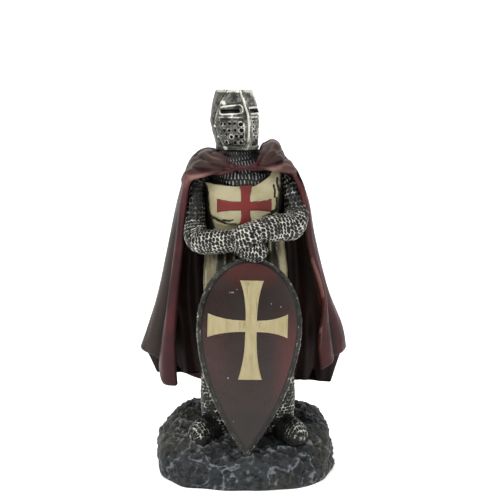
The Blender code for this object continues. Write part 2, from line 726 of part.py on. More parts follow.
def cross_solid(name, sizes, middle, surface, relief):
    """A flared cross that follows a surface: its front stands proud by relief, its back lies inside."""
    up, down, left, right, waist, end = sizes
    arms = ((0, 1, up), (0, -1, down), (-1, 0, left), (1, 0, right))
    points = {}
    quads = []

    def index(x, z):
        key = (round(x, 4), round(z, 4))
        return points.setdefault(key, len(points))

    quads.append([index(-waist, -waist), index(waist, -waist), index(waist, waist), index(-waist, waist)])
    for dx, dz, length in arms:
        for step in range(CROSS_STEPS):
            corners = []
            for edge, sign in ((step, -1), (step, 1), (step + 1, 1), (step + 1, -1)):
                share = edge / CROSS_STEPS
                out = waist + (length - waist) * share
                half = (waist + (end - waist) * share ** CROSS_FLARE) * sign
                corners.append(index(dx * out + abs(dz) * half, dz * out + abs(dx) * half))
            quads.append(corners)
    flat = list(points)
    front = [surface(middle[0] + x, middle[1] + z, relief) for x, z in flat]
    back = [surface(middle[0] + x, middle[1] + z, -CROSS_ROOT) for x, z in flat]
    count = len(flat)
    faces = []
    uses = {}
    for quad in quads:
        faces.append(quad)
        faces.append([k + count for k in reversed(quad)])
        for a, b in zip(quad, quad[1:] + quad[:1]):
            uses.setdefault(frozenset((a, b)), []).append((a, b))
    for sides in uses.values():
        if len(sides) == 1:
            a, b = sides[0]
            faces.append((b, a, a + count, b + count))
    return add_mesh(name, front + back, faces)


def on_shield(x, z, proud):
    return tuple(shield_matrix() @ Vector((x, -shield_face(x, z) - proud, z)))


def on_chest(x, z, proud):
    """A point of the surcoat's front over a place seen from the front."""
    half_width = profile(TORSO, z)[0]
    across = min(0.999, abs(x) / half_width) ** (TORSO_SQUARENESS / 2)
    turn = -math.acos(math.copysign(across, x))
    point = torso_point(turn, z)
    return (x, point[1] - proud, z)


def material(name, colour, roughness):
    made = bpy.data.materials.new(name)
    made.use_nodes = True
    shader = made.node_tree.nodes["Principled BSDF"]
    shader.inputs["Base Color"].default_value = (*colour, 1.0)
    shader.inputs["Roughness"].default_value = roughness
    shader.inputs["Metallic"].default_value = 0.0
    return made


def cut(thing, cutter):
    """Cuts one solid out of another."""
    modifier = thing.modifiers.new("cut", "BOOLEAN")
    modifier.operation = "DIFFERENCE"
    modifier.object = cutter
    modifier.solver = "EXACT"
    cutter.hide_render = True
    cutter.display_type = "WIRE"


def ground_block():
    """A block under the ground plane, which cuts the rock off flat."""
    size = 2 * ROCK_HALF_WIDTH
    corners = ((-size, -size), (size, -size), (size, size), (-size, size))
    return loft("ground", [[(x, y, z) for x, y in corners] for z in (-GROUND_DEPTH, 0.0)])


def cast(name, things):
    """Runs all forms together into one skin and thins its faces out where it is smooth."""
    graph = bpy.context.evaluated_depsgraph_get()
    shape = bmesh.new()
    for thing in things:
        shape.from_mesh(bpy.data.meshes.new_from_object(thing.evaluated_get(graph)))
    mesh = bpy.data.meshes.new(name)
    shape.to_mesh(mesh)
    shape.free()
    for thing in list(bpy.data.objects):
        bpy.data.objects.remove(thing, do_unlink=True)
    body = bpy.data.objects.new(name, mesh)
    bpy.context.scene.collection.objects.link(body)
    skin = body.modifiers.new("skin", "REMESH")
    skin.mode = "VOXEL"
    skin.voxel_size = SKIN_STEP * MM
    graph = bpy.context.evaluated_depsgraph_get()
    quads = len(body.evaluated_get(graph).data.polygons)
    thin = body.modifiers.new("thin", "DECIMATE")
    thin.ratio = TRIANGLES / (2 * quads)
    return body


def main():
    for thing in list(bpy.data.objects):
        bpy.data.objects.remove(thing, do_unlink=True)
    helm = make_helm()
    for slot in make_eye_slots():
        cut(helm, slot)
    forms = [make_rock("rock"), helm, make_helm_bar(), make_torso(), make_coif()]
    forms += [make_leg(side) for side in (0, 1)]
    forms += [make_foot(side) for side in (0, 1)]
    forms += [make_arm("arm_left", ARM_LEFT), make_arm("arm_right", ARM_RIGHT)]
    forms += [ellipsoid("hand", centre, radii, HAND_AROUND) for centre, radii in HANDS]
    forms += [make_cloak(), make_lining(), make_cord(), make_shield()]
    forms += [ellipsoid("gather", centre, radii, GATHER_AROUND) for centre, radii in GATHERS]
    for sizes, middle, surface in (
        (SHIELD_CROSS, SHIELD_CROSS_MIDDLE, on_shield),
        (CHEST_CROSS, CHEST_CROSS_MIDDLE, on_chest),
    ):
        forms.append(cross_solid("cross", sizes, middle, surface, CROSS_RELIEF))
    statue = cast("knight_statue", forms)
    cut(statue, ground_block())
    statue.data.materials.append(material("painted resin", (0.13, 0.06, 0.055), 0.5))


main()
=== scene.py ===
"""The look of the painted resin knight figurine: its fine relief, its paint, the camera and the light.

Sizes are in millimetres, and MM turns them into metres where a mesh is made.
X points to the viewer's right, Y away from the viewer and Z up.
"""
import math

import bmesh
import bpy
import numpy as np
from mathutils import Matrix, Vector, noise
from mathutils.bvhtree import BVHTree


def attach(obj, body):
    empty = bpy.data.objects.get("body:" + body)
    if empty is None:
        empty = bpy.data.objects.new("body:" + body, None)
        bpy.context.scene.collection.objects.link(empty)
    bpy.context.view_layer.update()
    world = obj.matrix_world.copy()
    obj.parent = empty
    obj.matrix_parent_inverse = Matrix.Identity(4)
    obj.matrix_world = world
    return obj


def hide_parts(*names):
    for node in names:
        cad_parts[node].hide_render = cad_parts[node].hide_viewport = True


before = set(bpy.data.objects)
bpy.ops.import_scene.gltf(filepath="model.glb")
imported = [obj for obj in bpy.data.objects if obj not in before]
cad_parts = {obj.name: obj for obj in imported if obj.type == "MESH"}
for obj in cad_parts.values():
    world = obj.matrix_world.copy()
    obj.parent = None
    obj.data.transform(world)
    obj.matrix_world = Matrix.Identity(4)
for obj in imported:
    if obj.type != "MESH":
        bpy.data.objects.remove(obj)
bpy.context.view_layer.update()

MM = 0.001

# Camera: place in metres, degrees below the horizon, and focal length in pixels of a 500-pixel picture
CAMERA_PLACE = (0.002, -0.450, 0.163)
CAMERA_DROP = 9.54
CAMERA_FOCUS = 1158.0
PICTURE = 500.0
SENSOR = 36.0

# Rock base
ROCK_HALF_WIDTH = 35.0
ROCK_HALF_DEPTH = 31.9
ROCK_SQUARENESS = 2.65
ROCK_TOP = 16.0
ROCK_SLOPE_START = -6.0
ROCK_SLOPE = 0.17
ROCK_LUMP = 1.5
ROCK_LUMP_SIZE = 11.0
ROCK_TOP_LUMP = 0.9
# share of the footprint radius and height of each ring, from the underside to the middle of the top
ROCK_RINGS = (
    (0.99, 0.0), (1.0, 0.22), (0.995, 0.5), (0.965, 0.76), (0.9, 0.93),
    (0.78, 1.0), (0.6, 1.0), (0.4, 1.0), (0.2, 1.0), (0.03, 1.0),
)
ROCK_MOUNDS = (
    (21.5, 14.0, 5.6, 10.5),
    (-19.0, 13.0, 5.4, 12.0),
    (-27.0, 2.0, 2.6, 8.0),
    (-20.0, -8.0, 2.0, 9.0),
    (21.5, -8.0, 2.2, 9.0),
)
ROCK_ROWS = 124
ROCK_COLUMNS = 480

# Legs and feet
LEG_X = (-12.2, 14.4)
LEG_Y = -7.5
LEG_TOP = 48.0
LEG_FOOT = 13.0
LEG_RADII = (5.0, 4.9, 5.4, 4.9, 3.6)
FOOT_TURN = (-34.0, 34.0)
FOOT_LENGTH = 19.0
FOOT_HEEL = 4.5
FOOT_SOLE = 15.0
FOOT_SINK = -0.25
# share of the length, half width and height above the sole
FOOT_SECTIONS = (
    (0.0, 2.2, 6.0), (0.1, 4.2, 9.0), (0.3, 4.9, 10.4), (0.5, 5.1, 8.8),
    (0.7, 5.2, 7.8), (0.86, 4.5, 6.6), (0.96, 2.9, 4.6), (1.0, 1.0, 2.4),
)

# Surcoat: height, half width, front and back
TORSO = (
    (43.0, 15.4, -21.6, 9.0),
    (48.0, 15.5, -22.4, 9.0),
    (58.0, 15.6, -22.2, 9.0),
    (70.0, 15.8, -21.0, 9.0),
    (80.0, 16.0, -19.0, 8.5),
    (86.0, 15.4, -16.4, 8.0),
    (90.0, 15.0, -12.4, 8.0),
    (94.0, 15.2, -11.5, 8.0),
    (97.0, 15.6, -11.8, 8.0),
    (100.0, 16.0, -12.2, 8.0),
    (103.0, 16.2, -12.6, 8.0),
    (108.0, 16.4, -12.9, 8.0),
    (113.0, 16.4, -12.6, 8.0),
    (117.0, 16.2, -11.4, 10.0),
    (120.0, 15.4, -10.0, 10.5),
    (122.4, 13.0, -8.5, 9.5),
    (124.0, 9.0, -6.5, 7.5),
)
TORSO_SQUARENESS = 2.5
SKIRT_FOLDS = 9
SKIRT_FOLD_HEIGHT = 0.9
SKIRT_TOP = 92.0
POUCH_HEIGHT = 98.6
POUCH_RISE = 6.0
POUCH_BULGE = 2.2
POUCH_FADE = 9.0
POUCH_EDGE = 1.2
# the surcoat's upper edge over the mail, as x and z seen from the front
NECKLINE = ((-30.0, 115.8), (-15.2, 115.6), (-12.1, 115.0), (-4.4, 114.3), (3.5, 114.3), (6.5, 115.8),
            (9.4, 118.0), (10.8, 120.4), (12.0, 123.0), (30.0, 124.0))

# Mail collar and neck: height, half width, front, back and centre x
COIF = (
    (113.4, 10.6, -12.9, 4.0, 0.0),
    (115.2, 11.0, -13.7, 5.0, 0.0),
    (118.0, 10.6, -13.6, 6.0, -0.4),
    (121.0, 9.4, -12.2, 7.0, -1.2),
    (124.0, 8.4, -10.4, 7.0, -2.0),
    (127.0, 7.8, -9.4, 7.0, -2.5),
    (131.0, 6.8, -8.0, 6.5, -3.0),
)

# Great helm: height, half width, front and back depth, centre x
HELM = (
    (127.6, 7.7, 9.4, 8.4, -3.1),
    (128.6, 7.9, 9.7, 8.6, -3.1),
    (133.0, 8.6, 10.8, 9.2, -3.5),
    (138.0, 9.2, 11.6, 9.8, -4.0),
    (141.0, 9.0, 10.9, 9.4, -4.0),
    (145.0, 8.4, 9.2, 8.6, -4.1),
    (149.0, 7.4, 7.4, 7.6, -4.1),
    (150.0, 6.8, 6.7, 7.1, -4.1),
)
HELM_Y = -1.6
HELM_TURN = 27.0
HELM_RIDGE = 1.55
HELM_ROUND = 0.9
HELM_BAR_WIDTH = 1.8
HELM_BAR_PROUD = 0.9
HELM_BAR_ROOT = 1.0

# Arms: points along the middle line with the radius there, from shoulder to wrist
ARM_LEFT = (
    (-14.5, -1.0, 117.5, 3.4), (-18.6, -3.2, 113.6, 4.2), (-19.4, -6.0, 106.0, 4.2),
    (-19.3, -8.0, 98.0, 4.3), (-17.6, -11.4, 93.0, 4.7), (-12.0, -15.2, 93.0, 4.6),
    (-6.5, -18.0, 93.8, 4.3), (-1.5, -19.8, 94.6, 3.8),
)
ARM_RIGHT = (
    (13.8, -1.0, 117.5, 3.2), (17.4, -3.4, 114.0, 4.1), (19.3, -6.0, 108.0, 4.3),
    (19.8, -8.2, 102.5, 4.6), (17.4, -12.0, 98.6, 5.2), (11.5, -15.4, 98.6, 5.1),
    (5.5, -18.6, 97.6, 4.6), (0.5, -20.4, 96.6, 4.1),
)
# Hands, as the arms: points along each with the two radii there
HAND_UPPER = (
    (4.6, -19.6, 97.4, 3.4, 4.2), (1.6, -20.6, 96.2, 4.1, 4.9), (-1.2, -20.7, 95.4, 4.2, 5.0),
    (-3.6, -20.6, 94.9, 3.3, 4.0), (-5.0, -20.3, 94.6, 1.2, 1.6),
)
HAND_LOWER = (
    (-3.2, -20.0, 92.4, 2.4, 2.4), (0.0, -20.6, 91.2, 3.6, 3.8), (3.4, -20.8, 90.4, 3.8, 4.3),
    (6.6, -20.7, 90.6, 3.2, 3.9), (8.8, -20.4, 91.0, 1.2, 1.8),
)

# Cloak: five fall lines (x, y, z) from the collar over the shoulder to the hem, level by level
CLOAK_LEFT_EDGE = (
    (-4.6, -14.6, 121.6), (-9.0, -14.8, 120.6), (-15.0, -13.6, 118.9), (-20.4, -11.0, 116.0),
    (-22.8, -8.5, 106.0), (-24.6, -7.4, 90.0), (-27.0, -7.0, 68.0), (-28.2, -6.4, 49.5),
    (-27.6, -5.6, 34.8),
)
CLOAK_LEFT_SIDE = (
    (-12.0, -4.0, 124.6), (-14.8, -2.0, 125.0), (-17.8, 0.0, 123.2), (-20.9, 2.0, 118.4),
    (-24.4, 4.0, 106.5), (-28.1, 5.0, 90.5), (-33.0, 7.0, 69.5), (-38.0, 9.0, 53.0), (-40.6, 10.0, 45.6),
)
CLOAK_BACK = (
    (-2.0, 8.0, 122.6), (-2.0, 10.6, 123.6), (-1.5, 13.0, 121.4), (-1.0, 14.6, 116.5),
    (0.0, 16.0, 106.0), (0.0, 17.6, 90.5), (0.0, 20.2, 69.0), (0.0, 22.4, 49.0), (0.0, 24.4, 29.2),
)
CLOAK_RIGHT_SIDE = (
    (8.4, -4.0, 127.0), (11.2, -2.0, 127.9), (13.5, 0.0, 123.0), (18.2, 2.0, 117.2),
    (23.1, 4.0, 106.5), (26.1, 5.0, 91.0), (31.5, 7.0, 70.0), (37.8, 9.0, 54.4), (39.6, 10.0, 45.8),
)
CLOAK_RIGHT_EDGE = (
    (4.2, -14.4, 122.0), (8.5, -14.4, 121.4), (13.6, -13.0, 120.2), (18.6, -10.5, 117.4),
    (22.2, -7.8, 106.5), (24.6, -6.2, 90.0), (30.4, -4.6, 68.0), (29.6, -4.4, 52.0), (30.6, -4.0, 41.2),
)
CLOAK_THICKNESS = 2.4
CLOAK_EDGE_ROUNDING = 1.0
CLOAK_INNER_FOLDS = 0.85
CLOAK_FRONT_SHARE = 1.0 / 6.0
CLOAK_HANG_FOLDS = 6
CLOAK_HANG_HEIGHT = 2.1
CLOAK_CREST = 1.2
CLOAK_FOLD_SHARPNESS = 0.9
CLOAK_DRIFT = 0.014
CLOAK_BACK_DROP = ((3.0, 8.0), (6.0, 500.0))
CLOAK_FRONT_DROP = (3.0, 1.0)
CLOAK_HEM_TURN = ((6.0, 16.0), (1.6, 1.0))
CLOAK_HEM_DIP = (0.8, 0.0)
CLOAK_HEM_DIP_AT = 0.27
CLOAK_HEM_DIP_WIDTH = 0.07
CLOAK_UNEVEN = 0.3
CLOAK_PLEATS = 15
CLOAK_PLEAT_HEIGHT = 0.5
CLOAK_PLEAT_LEVEL = 1.8
CLOAK_PLEAT_REACH = 2.2
CLOAK_PLEAT_PHASE = 0.8
CLOAK_SHOULDER_LEVEL = 3.0
CLOAK_HEM_LEVEL = 8.0
CLOAK_GATHER = (2.6, 1.8, 1.35, 1.1, 1.0, 1.0, 1.0, 1.0, 1.0)
CLOAK_FRONT_STEPS = 50
CLOAK_BACK_STEPS = 140
CLOAK_LEVEL_STEPS = 150
LINING_LEVELS = (2.0, 7.9)
LINING_START = (0.03, 0.15)
LINING_FRONT = (-6.0, 9.0)
LINING_DEPTH = 1.45
LINING_DROP = (10.5, 15.0)
LINING_DROP_POWER = 5.0
LINING_SQUEEZE = 0.085

# Throat cord, gathers and the loose end of the cloak
CORD_ENDS = (-4.6, 4.4)
CORD_Z = 121.3
CORD_Y = -15.0
CORD_BEND = 0.04
CORD_RADIUS = 1.0

# Shield
SHIELD_CENTRE = (1.6, -20.8, 61.8)
SHIELD_TURN = 4.0
SHIELD_LEAN = 5.5
SHIELD_TILT = 1.75
SHIELD_HALF_WIDTH = 18.6
SHIELD_UPPER = 25.2
SHIELD_LOWER = 48.6
SHIELD_TAPER = 1.9
SHIELD_THICKNESS = 3.6
SHIELD_BULGE = 2.4
SHIELD_BULGE_POWER = 2.6
SHIELD_RIM_STEP = 0.5
SHIELD_SHOULDER = 0.8

# Crosses: arms up, down, left and right, waist half width and end half width, with the middle point of each
SHIELD_CROSS = (17.1, 20.3, 16.3, 13.9, 2.15, 4.5)
SHIELD_CROSS_MIDDLE = (0.4, 0.5)
CHEST_CROSS = (8.0, 7.4, 11.0, 9.8, 1.6, 2.6)
CHEST_CROSS_MIDDLE = (0.4, 106.6)
CROSS_RELIEF = 0.4
CROSS_FLARE = 2.4
CROSS_ROOT = 1.2

# Rings of mail
MAIL_PITCH = 1.4
MAIL_RELIEF = 0.24


def spline(rows, at):
    """Reads rows of numbers at fractional row positions, on a smooth curve through them."""
    rows = np.asarray(rows, dtype=float)
    last = len(rows) - 1
    at = np.clip(np.asarray(at, dtype=float), 0.0, last)
    low = np.minimum(at.astype(int), last - 1)
    t = (at - low)[..., None]
    before = rows[np.maximum(low - 1, 0)]
    start = rows[low]
    end = rows[low + 1]
    after = rows[np.minimum(low + 2, last)]
    linear = (end - before) * t
    square = (2 * before - 5 * start + 4 * end - after) * t ** 2
    cubic = (3 * start - before - 3 * end + after) * t ** 3
    return 0.5 * (2 * start + linear + square + cubic)


def profile(rows, key):
    """Reads a table at values of its first column."""
    rows = np.asarray(rows, dtype=float)
    at = np.interp(key, rows[:, 0], np.arange(len(rows)))
    return np.moveaxis(spline(rows[:, 1:], at), -1, 0)


def power(value, exponent):
    """Raises a number to a power and keeps its sign."""
    return np.sign(value) * np.abs(value) ** exponent


def step(low, high, value):
    """Rises smoothly from 0 at low to 1 at high."""
    t = np.clip((value - low) / (high - low), 0.0, 1.0)
    return t * t * (3 - 2 * t)


def lattice(x, y, z, seed):
    """A fixed number from 0 to 1 for each whole grid place."""
    h = (x * 374761393 + y * 668265263 + z * 1440662683 + seed * 1274126177) & 0xFFFFFFFF
    h = ((h ^ (h >> 13)) * 1274126177) & 0xFFFFFFFF
    return ((h ^ (h >> 16)) & 0xFFFF) / 65535.0


def lumps(points, size, seed=0):
    """Smooth lumps about size wide, from -1 to 1."""
    place = points / size
    base = np.floor(place).astype(np.int64)
    f = place - base
    f = f * f * (3 - 2 * f)
    total = 0.0
    for corner in range(8):
        dx, dy, dz = corner & 1, corner >> 1 & 1, corner >> 2
        weight = ((f[..., 0] if dx else 1 - f[..., 0]) * (f[..., 1] if dy else 1 - f[..., 1])
                  * (f[..., 2] if dz else 1 - f[..., 2]))
        total = total + weight * lattice(base[..., 0] + dx, base[..., 1] + dy, base[..., 2] + dz, seed)
    return 2 * total - 1


def layers(points, size, count, seed=0, gain=0.5):
    """Lumps over lumps, each layer half as wide as the one before."""
    total = 0.0
    scale = 1.0
    for k in range(count):
        total = total + scale * lumps(points, size / 2 ** k, seed + 17 * k)
        scale *= gain
    return total


def veins(points, size, seed=0):
    """Thin winding ridges: 1 on a ridge and 0 far from it."""
    bent = points + 0.35 * size * np.stack([lumps(points, size, seed + k) for k in (1, 2, 3)], axis=-1)
    field = lumps(bent, size, seed) + 0.35 * lumps(points, 0.4 * size, seed + 4)
    return np.exp(-(field / 0.11) ** 2)


def normals(grid, closed=True):
    """Outward directions at a grid of points whose rows run round a form."""
    along = np.gradient(grid, axis=0)
    if closed:
        across = np.roll(grid, -1, axis=1) - np.roll(grid, 1, axis=1)
    else:
        across = np.gradient(grid, axis=1)
    normal = np.cross(across, along)
    normal /= np.maximum(np.linalg.norm(normal, axis=-1, keepdims=True), 1e-9)
    middle = grid.mean(axis=1, keepdims=True) if closed else grid.mean(axis=(0, 1), keepdims=True)
    return normal if np.sum(normal * (grid - middle)) > 0 else -normal


def ring_faces(rows, columns):
    """Quads between closed rings of points."""
    index = np.arange(rows * columns).reshape(rows, columns)
    beside = np.roll(index, -1, axis=1)
    return np.stack((index[:-1], beside[:-1], beside[1:], index[1:]), axis=-1).reshape(-1, 4)


PIECES = []


def add_piece(name, points, faces, paint, high=None, tint_and_painted_light=None):
    """Makes a piece from points in millimetres, with its faces turned outwards and its paint's two guides:
    how high each point lies in its relief, and how much it takes of the paint's added colour, painted light
    on most pieces."""
    mesh = bpy.data.meshes.new(name)
    mesh.from_pydata((np.asarray(points, dtype=float) * MM).tolist(), [], faces)
    mesh.polygons.foreach_set("use_smooth", np.ones(len(mesh.polygons), dtype=bool))
    count = len(mesh.vertices)
    for key, values in (("high", high), ("tint_and_painted_light", tint_and_painted_light), ("open", None)):
        data = np.zeros(count) if values is None else np.asarray(values, dtype=float)
        if key != "tint_and_painted_light" and values is None:
            data = np.full(count, 0.5 if key == "high" else 1.0)
        mesh.attributes.new(key, "FLOAT", "POINT").data.foreach_set("value", data)
    mesh.materials.append(paint)
    shape = bmesh.new()
    shape.from_mesh(mesh)
    if shape.calc_volume(signed=True) < 0:
        mesh.flip_normals()
    shape.free()
    thing = bpy.data.objects.new(name, mesh)
    bpy.context.scene.collection.objects.link(thing)
    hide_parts("knight_statue")
    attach(thing, "root")
    PIECES.append(thing)
    return thing


def tube(name, grid, paint, relief=None, high=None, tint_and_painted_light=None):
    """A closed piece from rings of points, with its relief pushed out along its own surface."""
    rows, columns = grid.shape[:2]
    if relief is not None:
        grid = grid + normals(grid) * relief[..., None]
    faces = ring_faces(rows, columns)
    middle = grid.mean(axis=1, keepdims=True)
    across = np.roll(grid, -1, axis=1) - grid
    along = np.gradient(grid, axis=0)
    if np.sum(np.cross(across, along) * (grid - middle)) < 0:
        faces = faces[:, ::-1]
        flip = True
    else:
        flip = False
    count = rows * columns
    fans = []
    for k in range(columns):
        n = (k + 1) % columns
        low = (n, k, count)
        far = (count - columns + k, count - columns + n, count + 1)
        fans += [low[::-1], far[::-1]] if flip else [low, far]
    points = np.concatenate((grid.reshape(-1, 3), grid[0].mean(axis=0)[None], grid[-1].mean(axis=0)[None]))

    def spread(values):
        if values is None:
            return None
        values = np.broadcast_to(values, (rows, columns))
        return np.concatenate((values.ravel(), [values[0].mean(), values[-1].mean()]))

    return add_piece(name, points, faces.tolist() + fans, paint, spread(high), spread(tint_and_painted_light))


def rgb(red, green, blue):
    """A paint colour, from numbers of 0 to 255 as a screen shows them."""
    values = (v / 255 for v in (red, green, blue))
    return (*(v / 12.92 if v < 0.04 else ((v + 0.055) / 1.055) ** 2.4 for v in values), 1.0)


def add_node(tree, kind, inputs=(), **settings):
    """Adds a node: an input is a number, a colour or the output that feeds it."""
    made = tree.nodes.new("ShaderNode" + kind)
    for key, value in settings.items():
        setattr(made, key, value)
    for key, value in dict(inputs).items():
        if isinstance(value, bpy.types.NodeSocket):
            tree.links.new(value, made.inputs[key])
        else:
            made.inputs[key].default_value = value
    return made


def blend(tree, factor, first, second):
    """Mixes two colours."""
    made = add_node(tree, "Mix", data_type="RGBA")
    for key, value in ((0, factor), (6, first), (7, second)):
        if isinstance(value, bpy.types.NodeSocket):
            tree.links.new(value, made.inputs[key])
        else:
            made.inputs[key].default_value = value
    return made.outputs[2]


def ramp(tree, value, low, high, start=0.0, end=1.0):
    """Turns a value from low to high smoothly into one from start to end."""
    inputs = {"Value": value, "From Min": low, "From Max": high, "To Min": start, "To Max": end}
    return add_node(tree, "MapRange", inputs, interpolation_type="SMOOTHSTEP").outputs["Result"]


def maths(tree, operation, first, second=0.0):
    made = add_node(tree, "Math", operation=operation)
    for key, value in ((0, first), (1, second)):
        if isinstance(value, bpy.types.NodeSocket):
            tree.links.new(value, made.inputs[key])
        else:
            made.inputs[key].default_value = value
    return made.outputs[0]


def cloud(tree, coordinates, size, detail=3.0, stretch=None):
    """Soft random patches about size millimetres wide."""
    if stretch:
        scaled = add_node(tree, "Mapping", {"Vector": coordinates, "Scale": stretch})
        coordinates = scaled.outputs["Vector"]
    inputs = {"Vector": coordinates, "Scale": 1 / (size * MM), "Detail": detail, "Roughness": 0.55}
    return add_node(tree, "TexNoise", inputs).outputs["Fac"]


def make_paint(name, base, second, wash, light, wash_at=(0.1, 0.45), light_at=(0.7, 0.95), light_share=0.8,
               hollow=0.9, patch=9.0, roughness=0.55, metal=0.0, grain=0.5, tint_and_painted_light_colour=None, stretch=None,
               gloss=0.3):
    """Hand-laid paint: a patchy base coat, an added colour that is painted light on the surcoat, cloak and
    shield, a dark wash that stays in the low places and paints shade where a place is closed in, and a dry
    brush that only touches the high ones."""
    paint = bpy.data.materials.new(name)
    paint.use_nodes = True
    tree = paint.node_tree
    shader = tree.nodes["Principled BSDF"]
    place = add_node(tree, "TexCoord").outputs["Object"]
    high = add_node(tree, "Attribute", attribute_name="high").outputs["Fac"]
    exposed = add_node(tree, "Attribute", attribute_name="open").outputs["Fac"]
    tint_and_painted_light = add_node(tree, "Attribute", attribute_name="tint_and_painted_light").outputs["Fac"]
    patches = cloud(tree, place, patch, 4.0, stretch)
    speckle = cloud(tree, place, 0.8, 3.0)
    colour = blend(tree, ramp(tree, patches, 0.36, 0.64), base, second)
    if tint_and_painted_light_colour:
        colour = blend(tree, tint_and_painted_light, colour, tint_and_painted_light_colour)
    uneven = maths(tree, "MULTIPLY_ADD", maths(tree, "SUBTRACT", speckle, 0.5), grain)
    uneven.node.inputs[2].default_value = 0.0
    tree.links.new(high, uneven.node.inputs[2])
    low = ramp(tree, uneven, *wash_at, 1.0, 0.0)
    # closed-in places take the dark wash: real wash in the paint's hollows, and painted shade where parts
    # close round a place
    closed = ramp(tree, exposed, 0.15, 0.75, hollow, 0.0)
    wash_and_painted_shade = maths(tree, "MAXIMUM", low, closed)
    colour = blend(tree, wash_and_painted_shade, colour, wash)
    brushed = ramp(tree, uneven, *light_at, 0.0, light_share)
    touched = maths(tree, "MULTIPLY", brushed, ramp(tree, exposed, 0.1, 0.7))
    colour = blend(tree, touched, colour, light)
    tree.links.new(colour, shader.inputs["Base Color"])
    dull = ramp(tree, patches, 0.3, 0.7, roughness - 0.06, roughness + 0.08)
    tree.links.new(dull, shader.inputs["Roughness"])
    if metal:
        tree.links.new(maths(tree, "MULTIPLY", touched, metal), shader.inputs["Metallic"])
    shader.inputs["Specular IOR Level"].default_value = gloss
    bump = add_node(tree, "Bump", {"Height": speckle, "Strength": 0.35, "Distance": 0.12 * MM})
    tree.links.new(bump.outputs["Normal"], shader.inputs["Normal"])
    return paint


# The added colour is painted shadow on the surcoat, painted shade and sheen on the cloak and painted
# reflections on the shield; on the rock it is the stone's own olive tone.
PAINT = {
    "rock": make_paint(
        "rock_paint", rgb(35, 38, 40), rgb(46, 49, 51), rgb(9, 10, 11), rgb(112, 116, 121),
        wash_at=(0.08, 0.4), light_at=(0.5, 0.9), light_share=0.8, patch=8.0, roughness=0.6,
        tint_and_painted_light_colour=rgb(47, 47, 39), grain=0.45),
    "mail": make_paint(
        "mail_paint", rgb(28, 28, 26), rgb(36, 36, 33), rgb(4, 4, 4), rgb(212, 211, 198),
        wash_at=(0.2, 0.5), light_at=(0.5, 0.98), light_share=0.95, roughness=0.42, metal=0.35, grain=0.5),
    "coif": make_paint(
        "coif_paint", rgb(28, 30, 29), rgb(36, 37, 36), rgb(4, 5, 5), rgb(170, 172, 168),
        wash_at=(0.2, 0.5), light_at=(0.55, 1.0), light_share=0.8, roughness=0.42, metal=0.35, grain=0.5),
    "helm": make_paint(
        "helm_paint", rgb(100, 100, 90), rgb(52, 52, 46), rgb(6, 6, 5), rgb(222, 221, 210),
        wash_at=(0.08, 0.42), light_at=(0.58, 0.98), light_share=0.9, patch=2.4, roughness=0.36, metal=0.5,
        grain=0.8),
    "surcoat": make_paint(
        "surcoat_paint", rgb(172, 164, 132), rgb(152, 144, 112), rgb(26, 22, 13), rgb(216, 210, 182),
        wash_at=(0.05, 0.45), light_at=(0.75, 1.0), light_share=0.6, roughness=0.5, tint_and_painted_light_colour=rgb(40, 38, 27),
        grain=0.35),
    "red": make_paint(
        "red_paint", rgb(114, 36, 31), rgb(98, 31, 27), rgb(44, 13, 11), rgb(214, 150, 128),
        wash_at=(0.0, 0.3), light_at=(0.86, 1.1), light_share=0.8, roughness=0.5, grain=0.2),
    "cloak": make_paint(
        "cloak_paint", rgb(70, 26, 28), rgb(52, 23, 24), rgb(18, 11, 10), rgb(172, 128, 120),
        wash_at=(0.1, 0.5), light_at=(0.72, 1.9), light_share=0.9, patch=14.0, roughness=0.46,
        tint_and_painted_light_colour=rgb(50, 40, 34), grain=0.2, gloss=0.2),
    "lining": make_paint(
        "lining_paint", rgb(34, 20, 19), rgb(26, 19, 17), rgb(12, 9, 8), rgb(66, 46, 42),
        wash_at=(0.1, 0.5), light_at=(0.6, 0.95), light_share=0.5, patch=14.0, roughness=0.5, grain=0.15,
        gloss=0.12),
    "shield": make_paint(
        "shield_paint", rgb(38, 25, 21), rgb(34, 27, 24), rgb(8, 6, 5), rgb(186, 176, 168),
        wash_at=(0.0, 0.3), light_at=(0.9, 1.1), light_share=0.8, patch=16.0, roughness=0.3,
        tint_and_painted_light_colour=rgb(74, 33, 30), grain=0.1, gloss=0.35),
    "rim": make_paint(
        "rim_paint", rgb(52, 50, 42), rgb(38, 37, 32), rgb(6, 6, 5), rgb(196, 194, 182),
        wash_at=(0.15, 0.5), light_at=(0.6, 1.0), light_share=0.9, patch=4.0, roughness=0.38, metal=0.5,
        grain=0.9),
    "cream": make_paint(
        "cream_paint", rgb(168, 156, 120), rgb(158, 146, 108), rgb(84, 66, 34), rgb(204, 192, 158),
        wash_at=(0.05, 0.42), light_at=(0.7, 1.05), light_share=0.7, roughness=0.48, grain=0.25,
        stretch=(3.0, 3.0, 0.5), patch=5.0),
}


def mail(along, around, seed=0):
    """Staggered rings of mail: 0 in their holes and 1 on the metal. Along and around are counted in rings."""
    row = np.floor(along).astype(np.int64)
    aside = around + 0.5 * (row % 2)
    column = np.floor(aside).astype(np.int64)
    chance = [lattice(row, column, row * 0, seed + k) - 0.5 for k in range(3)]
    a = along - row - 0.5 + 0.24 * chance[0]
    b = aside - column - 0.5 + 0.24 * chance[1]
    size = 0.36 + 0.14 * chance[2]
    return step(size - 0.06, size + 0.2, np.hypot(a, b))


def dashes(along, around):
    """Rings of mail seen edge on: short upright strokes, staggered from row to row."""
    row = np.floor(along)
    aside = around + 0.5 * (row % 2)
    a = np.abs(along - row - 0.5)
    b = np.abs(aside - np.floor(aside) - 0.5)
    return step(0.2, 0.42, b) * step(0.5, 0.32, a)


